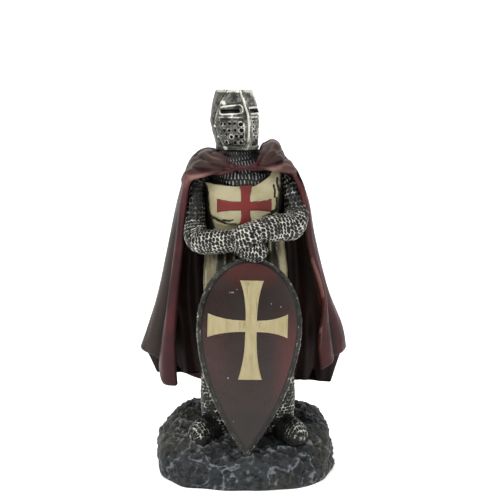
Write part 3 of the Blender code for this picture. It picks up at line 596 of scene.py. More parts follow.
def make_rock():
    table = spline(ROCK_RINGS, np.linspace(0, len(ROCK_RINGS) - 1, 400))
    path = np.stack((table[:, 0] * 33, table[:, 1] * ROCK_TOP), axis=1)
    run = np.concatenate(([0], np.cumsum(np.linalg.norm(np.diff(path, axis=0), axis=1))))
    at = np.interp(np.linspace(0, run[-1], ROCK_ROWS), run, np.arange(400))
    share = np.interp(at, np.arange(400), table[:, 0])[:, None]
    height = np.interp(at, np.arange(400), table[:, 1])[:, None]
    turn = np.linspace(0, 2 * math.pi, ROCK_COLUMNS, endpoint=False)[None]
    across = power(np.cos(turn), 2 / ROCK_SQUARENESS) * ROCK_HALF_WIDTH + 0 * share
    away = power(np.sin(turn), 2 / ROCK_SQUARENESS) * ROCK_HALF_DEPTH + 0 * share
    height = height + 0 * across
    places = np.stack((across, away, height * ROCK_TOP), axis=-1) / ROCK_LUMP_SIZE
    lump = np.array([noise.noise(Vector(p)) for p in places.reshape(-1, 3)]).reshape(across.shape)
    grow = share * (1 + ROCK_LUMP * lump / ROCK_HALF_DEPTH)
    x = across * grow
    y = away * grow
    top = ROCK_TOP + ROCK_SLOPE * np.minimum(0.0, y - ROCK_SLOPE_START)
    for mound_x, mound_y, rise, radius in ROCK_MOUNDS:
        top = top + rise * np.exp(-np.hypot(x - mound_x, y - mound_y) ** 2 / radius ** 2)
    places = np.stack((x, y, 0 * x + 3.0), axis=-1) / ROCK_LUMP_SIZE * 2.0
    top = top + ROCK_TOP_LUMP * np.array(
        [noise.noise(Vector(p)) for p in places.reshape(-1, 3)]).reshape(across.shape)
    grid = np.stack((x, y, top * height), axis=-1)
    big = layers(grid, 9.0, 2, 3)
    ridge = veins(grid, 5.6, 11)
    small = veins(grid, 3.6, 23)
    fine = veins(grid, 2.5, 57)
    stones = layers(grid, 4.6, 2, 37)
    pits = layers(grid, 1.5, 2, 31)
    amount = 0.8 + 0.5 * lumps(grid, 6.0, 71)
    relief = 0.8 * big + 0.5 * stones + amount * (0.6 * ridge + 0.5 * small + 0.3 * fine) + 0.35 * pits - 0.4
    relief = relief * step(0.0, 0.12, height)
    high = 0.24 + 0.08 * stones + amount * (0.5 * ridge + 0.42 * small + 0.3 * fine) + 0.16 * pits
    tint_and_painted_light = step(-0.2, 0.9, lumps(grid, 16.0, 5) + 0.25 * (x < -10) * (y > -14))
    grid = grid + normals(grid) * relief[..., None] * step(0.02, 0.2, share)[..., None]
    grid[..., 2] = np.maximum(grid[..., 2], 0.0)
    grid[0, :, 2] = 0.0
    tube("rock", grid, PAINT["rock"], None, high, tint_and_painted_light)


def make_leg(side):
    rows, columns = 110, 92
    z = np.linspace(LEG_FOOT, LEG_TOP, rows)[:, None]
    turn = np.linspace(0, 2 * math.pi, columns, endpoint=False)[None]
    radius = spline(np.array(LEG_RADII)[:, None], (z - LEG_FOOT) / (LEG_TOP - LEG_FOOT) * 4)[..., 0]
    x = LEG_X[side] + radius * np.cos(turn)
    y = LEG_Y + radius * np.sin(turn)
    grid = np.stack((x, y, z + 0 * turn), axis=-1)
    bent = 0.3 * lumps(grid, 3.0, 6 + side)
    rings = mail(z / 1.35 + bent, turn / (2 * math.pi) * 22 + bent, 3 + side)
    rings = rings * (0.78 + 0.45 * lumps(grid, 1.6, 8))
    tube("leg_" + ("left", "right")[side], grid, PAINT["mail"], (rings - 0.6) * MAIL_RELIEF, rings)


def make_foot(side):
    rows, columns = 90, 100
    turn = math.radians(FOOT_TURN[side])
    forward = np.array((math.sin(turn), -math.cos(turn), 0.0))
    sideways = np.array((math.cos(turn), math.sin(turn), 0.0))
    heel = np.array((LEG_X[side], LEG_Y, FOOT_SOLE)) - forward * FOOT_HEEL
    share, half_width, height = np.moveaxis(spline(FOOT_SECTIONS, np.linspace(0, 7, rows)), -1, 0)
    angle = np.linspace(0, 2 * math.pi, columns, endpoint=False)
    rise = np.maximum(np.sin(angle), FOOT_SINK)
    grid = (heel + forward * FOOT_LENGTH * share[:, None, None]
            + sideways * (half_width[:, None] * np.cos(angle))[..., None])
    grid[..., 2] += height[:, None] * rise
    bent = 0.5 * lumps(grid, 2.5, 9)
    rings = mail(share[:, None] * FOOT_LENGTH / 1.2 + bent, angle / (2 * math.pi) * 26 + 1.4 * bent, 9)
    toe = step(0.6, 0.8, share)[:, None] * step(0.1, 0.5, np.sin(angle))
    lit = 0.45 + 0.4 * toe * (1 + 0.7 * lumps(grid, 1.3, 19))
    tube("foot_" + ("left", "right")[side], grid, PAINT["mail"], (rings - 0.6) * MAIL_RELIEF, rings * lit)


def torso_point(turn, z):
    """A point on the surcoat, with the folds of its skirt and the blouse over the belt."""
    half_width, front, back = profile(TORSO, z)
    across = power(np.cos(turn), 2 / TORSO_SQUARENESS)
    away = power(np.sin(turn), 2 / TORSO_SQUARENESS)
    depth = np.where(away > 0, back, -front)
    low = np.maximum(0.0, (SKIRT_TOP - z) / (SKIRT_TOP - TORSO[0][0]))
    fold = SKIRT_FOLD_HEIGHT * low * np.cos(SKIRT_FOLDS * turn)
    x = across * (half_width + fold)
    y = away * (depth + fold)
    above = z - POUCH_HEIGHT - POUCH_RISE * (x / half_width) ** 2
    bulge = POUCH_BULGE * np.exp(-np.maximum(above, 0.0) / POUCH_FADE) * np.clip(above / POUCH_EDGE, 0, 1)
    y = y + np.where(away < 0, away * bulge, 0.0)
    return np.stack((x, y, z + 0 * x), axis=-1)


def line_share(x, z, line, width, sharp=2.0):
    """1 on a line of x, z points, fading to 0 over a width."""
    nearest = np.full(np.shape(x), 1e9)
    for (x0, z0), (x1, z1) in zip(line, line[1:]):
        dx, dz = x1 - x0, z1 - z0
        t = np.clip(((x - x0) * dx + (z - z0) * dz) / (dx * dx + dz * dz), 0.0, 1.0)
        nearest = np.minimum(nearest, np.hypot(x - x0 - t * dx, z - z0 - t * dz))
    return np.exp(-(nearest / width) ** sharp)


# dark creases of the surcoat, seen from the front: depth, width and x, z points
CREASES = (
    (1.0, 0.32, ((-14.4, 104.8), (-13.6, 103.2), (-12.4, 102.0))),
    (1.3, 0.5, ((-12.4, 102.0), (-10.6, 100.9), (-8.7, 100.2), (-7.4, 99.8))),
    (1.0, 0.3, ((-7.4, 99.8), (-5.4, 99.4), (-3.6, 99.6))),
    (0.6, 0.32, ((-8.2, 101.2), (-5.6, 100.9), (-4.4, 101.2))),
    (0.5, 0.3, ((-14.6, 112.4), (-14.2, 111.2), (-14.4, 109.8))),
    (0.9, 0.35, ((11.0, 114.4), (11.6, 112.2), (11.4, 109.8))),
    (0.9, 0.35, ((12.4, 117.0), (12.3, 115.0), (12.9, 112.4))),
    (0.7, 0.3, ((12.0, 109.4), (12.3, 107.2), (11.7, 105.2))),
    (0.9, 0.5, ((12.0, 104.6), (10.0, 103.2), (7.8, 102.2), (6.0, 100.6))),
    (0.5, 0.3, ((8.3, 104.9), (10.2, 104.4), (12.2, 104.9))),
    (0.5, 0.25, ((3.2, 108.0), (4.8, 108.3), (6.0, 108.2))),
)


def make_surcoat():
    rows, columns = 210, 250
    z = np.linspace(TORSO[0][0], TORSO[-1][0], rows)[:, None]
    # the columns lie closer together at the front
    turn = np.linspace(0, 2 * math.pi, columns, endpoint=False)
    turn = (turn + 0.35 * np.sin(2 * turn) * 0.5 + 0.30 * np.cos(turn))[None]
    grid = torso_point(turn + 0 * z, z + 0 * turn)
    x = grid[..., 0]
    front = step(2.0, -4.0, grid[..., 1])
    relief = 0.12 * layers(grid * (1, 1, 0.45), 4.0, 2, 7)
    high = 0.62 + 0.12 * layers(grid, 5.0, 2, 13)
    for depth, width, line in CREASES:
        share = line_share(x, z, line, width) * front
        relief = relief - depth * share + 0.35 * depth * line_share(x, z, line, 3.2 * width) * front
        high = high - 0.9 * share
    edge = np.interp(x, *np.array(NECKLINE).T)
    above = z - edge
    sunk_and_shaded = step(-0.1, 0.35, above) * front
    border = np.exp(-((above + 0.7) / 0.5) ** 2) * front
    relief = relief + 0.25 * border - 2.6 * sunk_and_shaded
    high = high + 0.15 * border - 1.1 * np.exp(-((above + 0.05) / 0.3) ** 2) * front
    # Beyond the surcoat's edges beside the arms it is sunk and painted dark: a painted shadow under the arms.
    wavy = 0.35 * lumps(grid, 2.2, 91)
    left = np.interp(z + 0 * x, (98.0, 101.5, 108.1, 114.6), (-12.2, -13.0, -13.9, -15.2))
    right = np.interp(z + 0 * x, (98.0, 106.4, 112.2, 118.0), (12.6, 12.9, 13.4, 14.2))
    beyond = np.maximum(left - x, x - right) + wavy
    sides = step(-0.1, 0.5, beyond) * front * step(95.0, 98.0, z)
    relief = relief - 0.8 * sides
    high = high - 0.9 * sides - 0.5 * np.exp(-((beyond + 0.3) / 0.7) ** 2) * front * (z > 97)
    sunk_and_shaded = np.maximum(sunk_and_shaded, sides)
    skirt = step(96.5, 92.0, z)
    folds = np.sin(turn * 26 + 0.1 * z + 2 * lumps(grid, 12.0, 3)) * skirt
    relief = relief + 0.5 * folds
    high = high + 0.22 * folds
    # Dark colour: the mail that shows above the neckline, painted shadow in a band above the shield under the
    # forearms and down the left of the skirt, and random darker patches over the skirt.
    band = step(98.0, 95.5, z + 0.3 * lumps(grid, 3.0, 5)) * step(78.0, 83.0, z)
    tint_and_painted_light = sunk_and_shaded + band * step(12.8, 11.2, np.abs(x - 1.2) + 0.5 * lumps(grid, 3.0, 6)) * front
    tint_and_painted_light = tint_and_painted_light + 0.5 * step(-9.0, -13.0, x) * skirt * front
    tint_and_painted_light = np.clip(tint_and_painted_light + 0.35 * step(0.0, 0.8, lumps(grid, 6.0, 21)) * skirt, 0, 1)
    tube("surcoat", grid, PAINT["surcoat"], relief, high, tint_and_painted_light)


def make_coif():
    rows, columns = 110, 230
    z = np.linspace(COIF[0][0], COIF[-1][0], rows)[:, None]
    turn = np.linspace(0, 2 * math.pi, columns, endpoint=False)[None]
    half_width, front, back, centre = profile(COIF, z)
    depth = np.where(np.sin(turn) > 0, back, -front)
    grid = np.stack((centre + half_width * np.cos(turn), depth * np.sin(turn), z + 0 * turn), axis=-1)
    bent = 0.3 * lumps(grid, 4.0, 76)
    rings = dashes(z / 2.2 + 1.8 * bent, turn / (2 * math.pi) * 48 + 1.6 * bent)
    folds = 0.3 * lumps(grid, 4.0, 77)
    # the rings duller near the top, under the helm: painted shade, with random patches of tone
    helm_shadow_and_tone = (0.72 + 0.25 * step(126.5, 123.0, z)) * (1 + 0.35 * lumps(grid, 1.6, 78))
    tube("coif", grid, PAINT["coif"], (rings - 0.6) * 0.3 + folds, rings * helm_shadow_and_tone + 0.1 * folds)


def helm_point(angle, z, proud=0.0):
    """A point on the helm, at an angle from its front ridge."""
    half_width, front, back, centre = profile(HELM, z)
    across = np.sin(angle)
    ahead = (front + proud) * np.maximum(1 - np.abs(across) ** HELM_RIDGE, HELM_ROUND * np.cos(angle))
    forward = np.where(np.cos(angle) > 0, ahead, (back + proud) * np.cos(angle))
    side = (half_width + proud) * across
    turn = math.radians(HELM_TURN)
    x = centre + forward * math.sin(turn) + side * math.cos(turn)
    y = HELM_Y - forward * math.cos(turn) + side * math.sin(turn)
    return np.stack((x, y, z + 0 * x), axis=-1)


# breathing holes: degrees from the front ridge, height, radius and height of the raised rim
HELM_HOLES = (
    (-60.5, 137.4, 0.34, 0.0), (-52.5, 137.4, 0.34, 0.0), (-40.5, 137.6, 0.42, 0.0),
    (-28.5, 137.7, 0.36, 0.0),
    (-15.5, 137.4, 0.6, 0.28),
    (-56.0, 135.0, 0.4, 0.0), (-43.5, 135.0, 0.4, 0.0), (-29.0, 135.2, 0.4, 0.0), (-14.5, 135.1, 0.65, 0.28),
    (-66.0, 133.6, 0.3, 0.0), (-52.0, 133.4, 0.28, 0.0), (-40.0, 132.6, 0.5, 0.12),
    (-27.5, 132.9, 0.45, 0.12),
    (-15.5, 132.7, 0.6, 0.2),
    (-55.0, 130.5, 0.45, 0.1), (-46.0, 129.6, 0.3, 0.0), (-32.0, 130.4, 0.5, 0.12), (-17.5, 130.4, 0.55, 0.2),
    (20.0, 138.0, 0.34, 0.0), (31.0, 138.2, 0.3, 0.0), (43.0, 137.9, 0.3, 0.0), (20.0, 136.3, 0.34, 0.0),
    (31.0, 136.4, 0.34, 0.0), (43.0, 136.0, 0.3, 0.0), (20.5, 134.5, 0.36, 0.0), (31.0, 134.6, 0.34, 0.0),
    (43.0, 134.0, 0.32, 0.0), (22.5, 132.3, 0.42, 0.15), (37.0, 132.2, 0.42, 0.15), (55.0, 136.6, 0.3, 0.0),
    (55.0, 133.6, 0.3, 0.0),
)
# raised borders of the left and right eye slots: distance from the front ridge and height
HELM_HOOD = ((10.5, 142.4), (10.1, 143.4), (9.0, 143.8), (5.5, 144.2), (1.8, 144.5), (1.2, 143.6),
             (1.2, 142.2),
             (2.0, 141.4), (5.0, 141.1), (9.2, 140.9), (10.2, 141.4), (10.5, 142.4))
HELM_SIGHT = ((1.3, 142.3), (1.6, 143.4), (5.0, 143.5), (9.0, 143.4), (9.5, 142.3), (9.0, 141.3),
              (5.0, 141.2),
              (1.7, 141.2), (1.3, 142.3))
HELM_RIVETS = ((-84.0, 140.2), (-82.0, 136.6), (-80.0, 132.4), (88.0, 140.2), (86.0, 136.6), (84.0, 132.4),
               (150.0, 136.0), (-150.0, 136.0), (180.0, 140.0), (180.0, 131.0))


def make_helm():
    rows, columns = 160, 360
    z = np.linspace(HELM[0][0], HELM[-1][0], rows)[:, None]
    angle = np.linspace(-math.pi, math.pi, columns, endpoint=False)
    angle = (angle - 0.45 * np.sin(angle))[None]
    grid = helm_point(angle + 0 * z, z + 0 * angle)
    degrees = np.degrees(angle) + 0 * z
    z = z + 0 * angle
    radius = 9.0
    away = np.radians(np.abs(degrees)) * radius
    relief = 0.07 * layers(grid, 2.2, 2, 5)
    mottle = layers(grid, 2.4, 3, 9)
    # brighter on the side to the viewer's right, where the fill lamp falls: painted light; and a bright patch
    # high on the left: a painted highlight
    high = 0.38 + 0.26 * mottle + 0.22 * step(7.0, 14.0, degrees) * step(110.0, 80.0, degrees)
    high = high + 0.7 * np.exp(-np.hypot(np.radians(degrees + 52.0) * radius, z - 145.2) ** 2 / 1.4)
    relief = relief + 0.06 * mottle

    def bump(height, share, bright):
        nonlocal relief, high
        relief = relief + height * share
        high = high + bright * share

    # the two eye slots with their raised borders, and a ledge under them
    for low, far in ((1.9, 9.8), (1.7, 9.0)):
        side = degrees < 0 if low == 1.9 else degrees > 0
        tilt = (away - 6.0) * -0.02
        middle = (low + 0.5 + far) / 2
        out_x = np.abs(away - middle) - (far - middle) + 0.5
        out_z = np.abs(z - 142.2 - tilt) - 0.62 + 0.5
        outside = np.hypot(np.maximum(out_x, 0), np.maximum(out_z, 0))
        gap = outside + np.minimum(np.maximum(out_x, out_z), 0) - 0.5
        bump(-1.5, step(0.12, -0.12, gap) * side, 0.0)
        high = np.where(side, high - 1.2 * step(0.2, 0.0, gap), high)
        border = HELM_HOOD if low == 1.9 else HELM_SIGHT
        bump(0.4, line_share(away, z, border, 0.3) * side, 0.6)
        bump(-0.2, line_share(away, z + 0.75, border[:5], 0.4) * side * step(0.3, 0.6, gap), -0.3)
        bump(-0.15, line_share(away, z - 0.6, border[:5], 0.3) * side, -0.3)
    ledge = np.exp(-((z - 139.9) / 0.3) ** 2) * step(1.2, 2.0, away) * step(11.0, 10.0, away)
    bump(0.35, ledge, 0.35)
    bump(-0.2, np.exp(-((z - 139.2) / 0.3) ** 2) * step(1.2, 2.0, away) * step(10.5, 9.5, away), -0.5)
    # plate edges: the brow seam, the side seams, the lower border and its round corner beside the bar
    seam = 12.6 - 0.09 * (z - 138.0) - 0.035 * (z - 138.0) ** 2
    side_edge = np.abs(away - seam)
    bump(0.28, np.exp(-((side_edge - 0.3) / 0.4) ** 2) * (away < seam + 0.3), 0.4)
    bump(-0.25, np.exp(-((away - seam - 0.55) / 0.3) ** 2), -0.6)
    corner = np.hypot(np.maximum(3.2 - away, 0.0), np.maximum(130.6 - z, 0.0))
    plate = np.where((away < 3.2) & (z < 130.6), corner - 1.7, np.maximum(128.9 - z, 1.5 - away))
    border = np.exp(-((plate - 0.15) / 0.28) ** 2) * (z < 139.2)
    bump(-0.2, np.exp(-((plate + 0.2) / 0.25) ** 2) * (z < 139.2) * (away < seam), -0.3)
    bump(0.25, border * (away < 13.0), 0.3)
    bump(0.3, step(128.9, 128.3, z), 0.25)
    # a raised top edge, brightened as a painted highlight along the rim
    bump(0.2, step(148.9, 149.4, z), 0.5)
    for place, height, size, rim in HELM_HOLES:
        distance = np.hypot(np.radians(degrees - place) * radius, z - height)
        bump(-1.0, step(size + 0.12, size - 0.12, distance), 0.0)
        high = high - 1.1 * step(size + 0.22, size - 0.05, distance)
        bump(rim + 0.06, np.exp(-((distance - size - 0.3) / 0.2) ** 2), 0.28 + 1.2 * rim)
    for place, height in HELM_RIVETS:
        distance = np.hypot(np.radians(degrees - place) * radius, z - height)
        bump(0.45, step(0.75, 0.2, distance), 0.55)
        bump(-0.12, np.exp(-((distance - 0.95) / 0.18) ** 2), -0.4)
    tube("helm", grid, PAINT["helm"], relief, high)


# lean of the front bar to one side of the helm's ridge, in degrees, at a row of heights
HELM_BAR_LEAN_AT = (128.0, 130.0, 135.0, 141.0, 146.0, 150.0)
HELM_BAR_LEAN = (2.5, 2.5, 5.0, 5.0, 1.0, -4.0)


def make_helm_bar():
    rows, columns = 120, 26
    z = np.linspace(128.0, 150.1, rows)
    turn = np.linspace(0, 2 * math.pi, columns, endpoint=False)
    half = (HELM_BAR_WIDTH / 2 - 0.1 + 0.6 * step(131.0, 128.4, z)) / HELM[0][1]
    lean = np.radians(np.interp(z, HELM_BAR_LEAN_AT, HELM_BAR_LEAN))
    angle = lean[:, None] + half[:, None] * power(np.cos(turn), 0.7)
    proud = -HELM_BAR_ROOT * 0.2 + (HELM_BAR_PROUD + 0.2) * np.maximum(power(np.sin(turn), 0.6), -0.7)
    grid = helm_point(angle, z[:, None] + 0 * angle, proud + 0 * angle)
    dents = layers(grid, 1.6, 2, 3)
    # the bar's left side brighter above its lower end: a painted highlight
    high = 0.66 + 0.2 * dents + 0.5 * step(-0.2, -0.7, np.cos(turn)) * step(131.0, 134.0, z)[:, None]
    tube("helm_bar", grid, PAINT["helm"], 0.05 * dents, high)


def limb(name, points, paint, rows, columns, seed, pitch, lit, ends=0.0):
    """A mail sleeve or mitten along a line of points. The length of its rings and the silver on them each go
    from a first value at the start to a second one towards the end."""
    points = np.asarray(points, dtype=float)
    fine = spline(points, np.linspace(0, len(points) - 1, 400))
    run = np.concatenate(([0], np.cumsum(np.linalg.norm(np.diff(fine[:, :3], axis=0), axis=1))))
    at = np.interp(np.linspace(0, run[-1], rows), run, np.linspace(0, len(points) - 1, 400))
    place = spline(points, at)
    tangent = np.gradient(place[:, :3], axis=0)
    tangent /= np.linalg.norm(tangent, axis=1, keepdims=True)
    across = np.cross(tangent, (0.0, 1.0, 1.0))
    across /= np.linalg.norm(across, axis=1, keepdims=True)
    up = np.cross(across, tangent)
    turn = np.linspace(0, 2 * math.pi, columns, endpoint=False)
    first = place[:, 3][:, None]
    second = place[:, -1][:, None]
    if ends:
        share = np.linspace(0, 1, rows)[:, None]
        close = np.sqrt(np.clip(1 - np.clip((share - 1 + ends) / ends, 0, 1) ** 2, 0.02, 1))
        first, second = first * close, second * close
    grid = (place[:, None, :3] + across[:, None] * (first * np.cos(turn))[..., None]
            + up[:, None] * (second * np.sin(turn))[..., None])
    share = step(0.34, 0.56, np.linspace(0, 1, rows))
    length = pitch[0] + (pitch[1] - pitch[0]) * share
    along = np.cumsum(run[-1] / rows / length)[:, None] + 0 * turn
    around = round(2 * math.pi * np.mean(place[:, 3]) / MAIL_PITCH)
    bent = 0.35 * lumps(grid, 4.0, seed)
    rings = mail(along + bent, turn / (2 * math.pi) * around + bent + 0.4 * along, seed)
    folds = layers(grid, 7.0, 2, seed + 5)
    high = rings * (lit[0] + (lit[1] - lit[0]) * share[:, None] + 0.16 * lumps(grid, 3.0, seed + 9))
    tube(name, grid, paint, (rings - 0.6) * MAIL_RELIEF + 0.25 * folds, high)


def cloak_hang(level):
    """How far down a level hangs: 0 at the shoulder and 1 at the hem."""
    return np.clip((level - CLOAK_SHOULDER_LEVEL) / (CLOAK_HEM_LEVEL - CLOAK_SHOULDER_LEVEL), 0.0, 1.0)


def cloak_fold(u, level, pleats=1.0):
    """How far a fold of the cloak stands out: deep hanging folds, and fine pleats over the shoulders."""
    hang = cloak_hang(level)
    drift = CLOAK_DRIFT * np.sin(1.6 * level + 9.0 * u) * np.sin(math.pi * u) ** 2
    wave = 2 * np.abs(np.cos(math.pi * CLOAK_HANG_FOLDS * (u + drift))) ** CLOAK_FOLD_SHARPNESS - 1
    uneven = 1 + CLOAK_UNEVEN * np.sin(17.0 * u)
    deep = CLOAK_HANG_HEIGHT * hang ** 0.8 * (wave - CLOAK_CREST) * uneven
    top = np.maximum(0.0, 1.0 - np.abs(level - CLOAK_PLEAT_LEVEL) / CLOAK_PLEAT_REACH)
    fine = CLOAK_PLEAT_HEIGHT * top * np.cos(2 * math.pi * CLOAK_PLEATS * u + CLOAK_PLEAT_PHASE)
    return deep + fine * pleats


def cloak_base(u, level):
    """A point of the smooth surface inside the cloak: u runs from the left front edge round the back."""
    u, level = np.broadcast_arrays(u, level)
    lines = [spline(line, level) for line in
             (CLOAK_LEFT_EDGE, CLOAK_LEFT_SIDE, CLOAK_BACK, CLOAK_RIGHT_SIDE, CLOAK_RIGHT_EDGE)]
    mirrored = u > 0.5
    aside = np.where(mirrored, 1 - u, u)
    side = np.where(mirrored[..., None], lines[3], lines[1])
    edge = np.where(mirrored[..., None], lines[4], lines[0])
    back = lines[2]
    hang = cloak_hang(level)
    crowding = np.interp(level, range(len(CLOAK_GATHER)), CLOAK_GATHER)
    share = np.clip(1 - aside / CLOAK_FRONT_SHARE, 0.0, 1.0) ** (1 / crowding)
    turn = share * math.pi / 2
    late, quick = (np.where(mirrored, CLOAK_HEM_TURN[1][k], CLOAK_HEM_TURN[0][k]) for k in (0, 1))
    late = CLOAK_FRONT_DROP[0] + (late - CLOAK_FRONT_DROP[0]) * hang
    quick = CLOAK_FRONT_DROP[1] + (quick - CLOAK_FRONT_DROP[1]) * hang
    x = side[..., 0] + (edge[..., 0] - side[..., 0]) * (1 - np.cos(turn))
    y = side[..., 1] + (edge[..., 1] - side[..., 1]) * np.sin(turn)
    z = side[..., 2] + (edge[..., 2] - side[..., 2]) * (1 - (1 - share ** late) ** quick)
    front = np.stack((x, y, z), axis=-1)
    share = np.clip((aside - CLOAK_FRONT_SHARE) / (0.5 - CLOAK_FRONT_SHARE), 0.0, 1.0)
    turn = share * math.pi / 2
    x = back[..., 0] + (side[..., 0] - back[..., 0]) * np.cos(turn)
    y = side[..., 1] + (back[..., 1] - side[..., 1]) * np.sin(turn)
    late, quick = (np.where(mirrored, CLOAK_BACK_DROP[1][k], CLOAK_BACK_DROP[0][k]) for k in (0, 1))
    dip = np.exp(-((aside - CLOAK_HEM_DIP_AT) / CLOAK_HEM_DIP_WIDTH) ** 2)
    z = side[..., 2] + (back[..., 2] - side[..., 2]) * (1 - (1 - share ** late) ** quick)
    z = z - np.where(mirrored, CLOAK_HEM_DIP[1], CLOAK_HEM_DIP[0]) * dip * hang ** 4
    behind = np.stack((x, y, z), axis=-1)
    return np.where((aside < CLOAK_FRONT_SHARE)[..., None], front, behind)


def cloak_normal(u, level):
    reach = 0.01
    around = cloak_base(np.minimum(u + reach, 1.0), level) - cloak_base(np.maximum(u - reach, 0.0), level)
    below = cloak_base(u, np.minimum(level + reach, CLOAK_HEM_LEVEL))
    down = below - cloak_base(u, np.maximum(level - reach, 0.0))
    normal = np.cross(around, down)
    return normal / np.linalg.norm(normal, axis=-1, keepdims=True)


def cloak_point(u, level, inset=0.0, extra=0.0):
    """A point of the folded cloak, or of its inner side, moved inwards by inset and with softer folds."""
    if inset == 0.0:
        proud = cloak_fold(u, level) + extra
    else:
        proud = cloak_fold(u, level, 0.0) * CLOAK_INNER_FOLDS - inset
    return cloak_base(u, level) + cloak_normal(u, level) * (CLOAK_THICKNESS + proud)[..., None]


def cloak_turns():
    """Values of u from the left front edge to the right one, closer together at the front."""
    front = np.linspace(0, CLOAK_FRONT_SHARE, CLOAK_FRONT_STEPS, endpoint=False)
    back = np.linspace(CLOAK_FRONT_SHARE, 1 - CLOAK_FRONT_SHARE, CLOAK_BACK_STEPS, endpoint=False)
    return np.array([*front, *back, *(1 - front[::-1])])


# creases (below 0) and ridges (above 0) of the mantle seen from the front: height, width and x, z points
MANTLE = (
    (-1.0, 0.5, ((-12.4, 124.6), (-10.2, 123.8), (-8.0, 123.0), (-5.0, 122.0))),
    (0.8, 0.6, ((-13.6, 124.0), (-9.4, 122.9), (-5.2, 121.7))),
    (-1.0, 0.6, ((-19.6, 123.4), (-15.4, 123.5), (-11.6, 122.2), (-6.0, 121.2))),
    (0.9, 1.0, ((-19.6, 125.0), (-16.4, 126.6), (-12.4, 126.2), (-8.0, 124.2), (-5.0, 122.6))),
    (-1.3, 0.6, ((-22.6, 117.4), (-20.6, 119.4), (-18.4, 120.2), (-15.0, 120.2), (-11.2, 120.5),
    (-6.0, 121.0))),
    (0.7, 0.8, ((-22.0, 114.6), (-20.4, 117.4), (-16.4, 118.5), (-10.4, 119.3), (-6.4, 120.0))),
    (-0.9, 0.5, ((9.6, 124.9), (11.4, 125.6), (13.8, 126.8))),
    (0.9, 1.1, ((8.0, 128.6), (12.0, 128.8), (15.4, 126.6))),
    (-1.2, 0.55, ((5.2, 122.0), (7.0, 121.9), (10.6, 122.5), (15.2, 122.6), (17.6, 121.6))),
    (0.6, 0.7, ((6.8, 120.9), (13.4, 121.4), (17.0, 120.0), (19.4, 118.0))),
    (0.8, 0.5, ((3.8, 122.4), (6.2, 125.2), (8.4, 128.2))),
    (-0.6, 0.4, ((5.0, 122.4), (7.6, 125.2), (9.8, 127.6))),
)


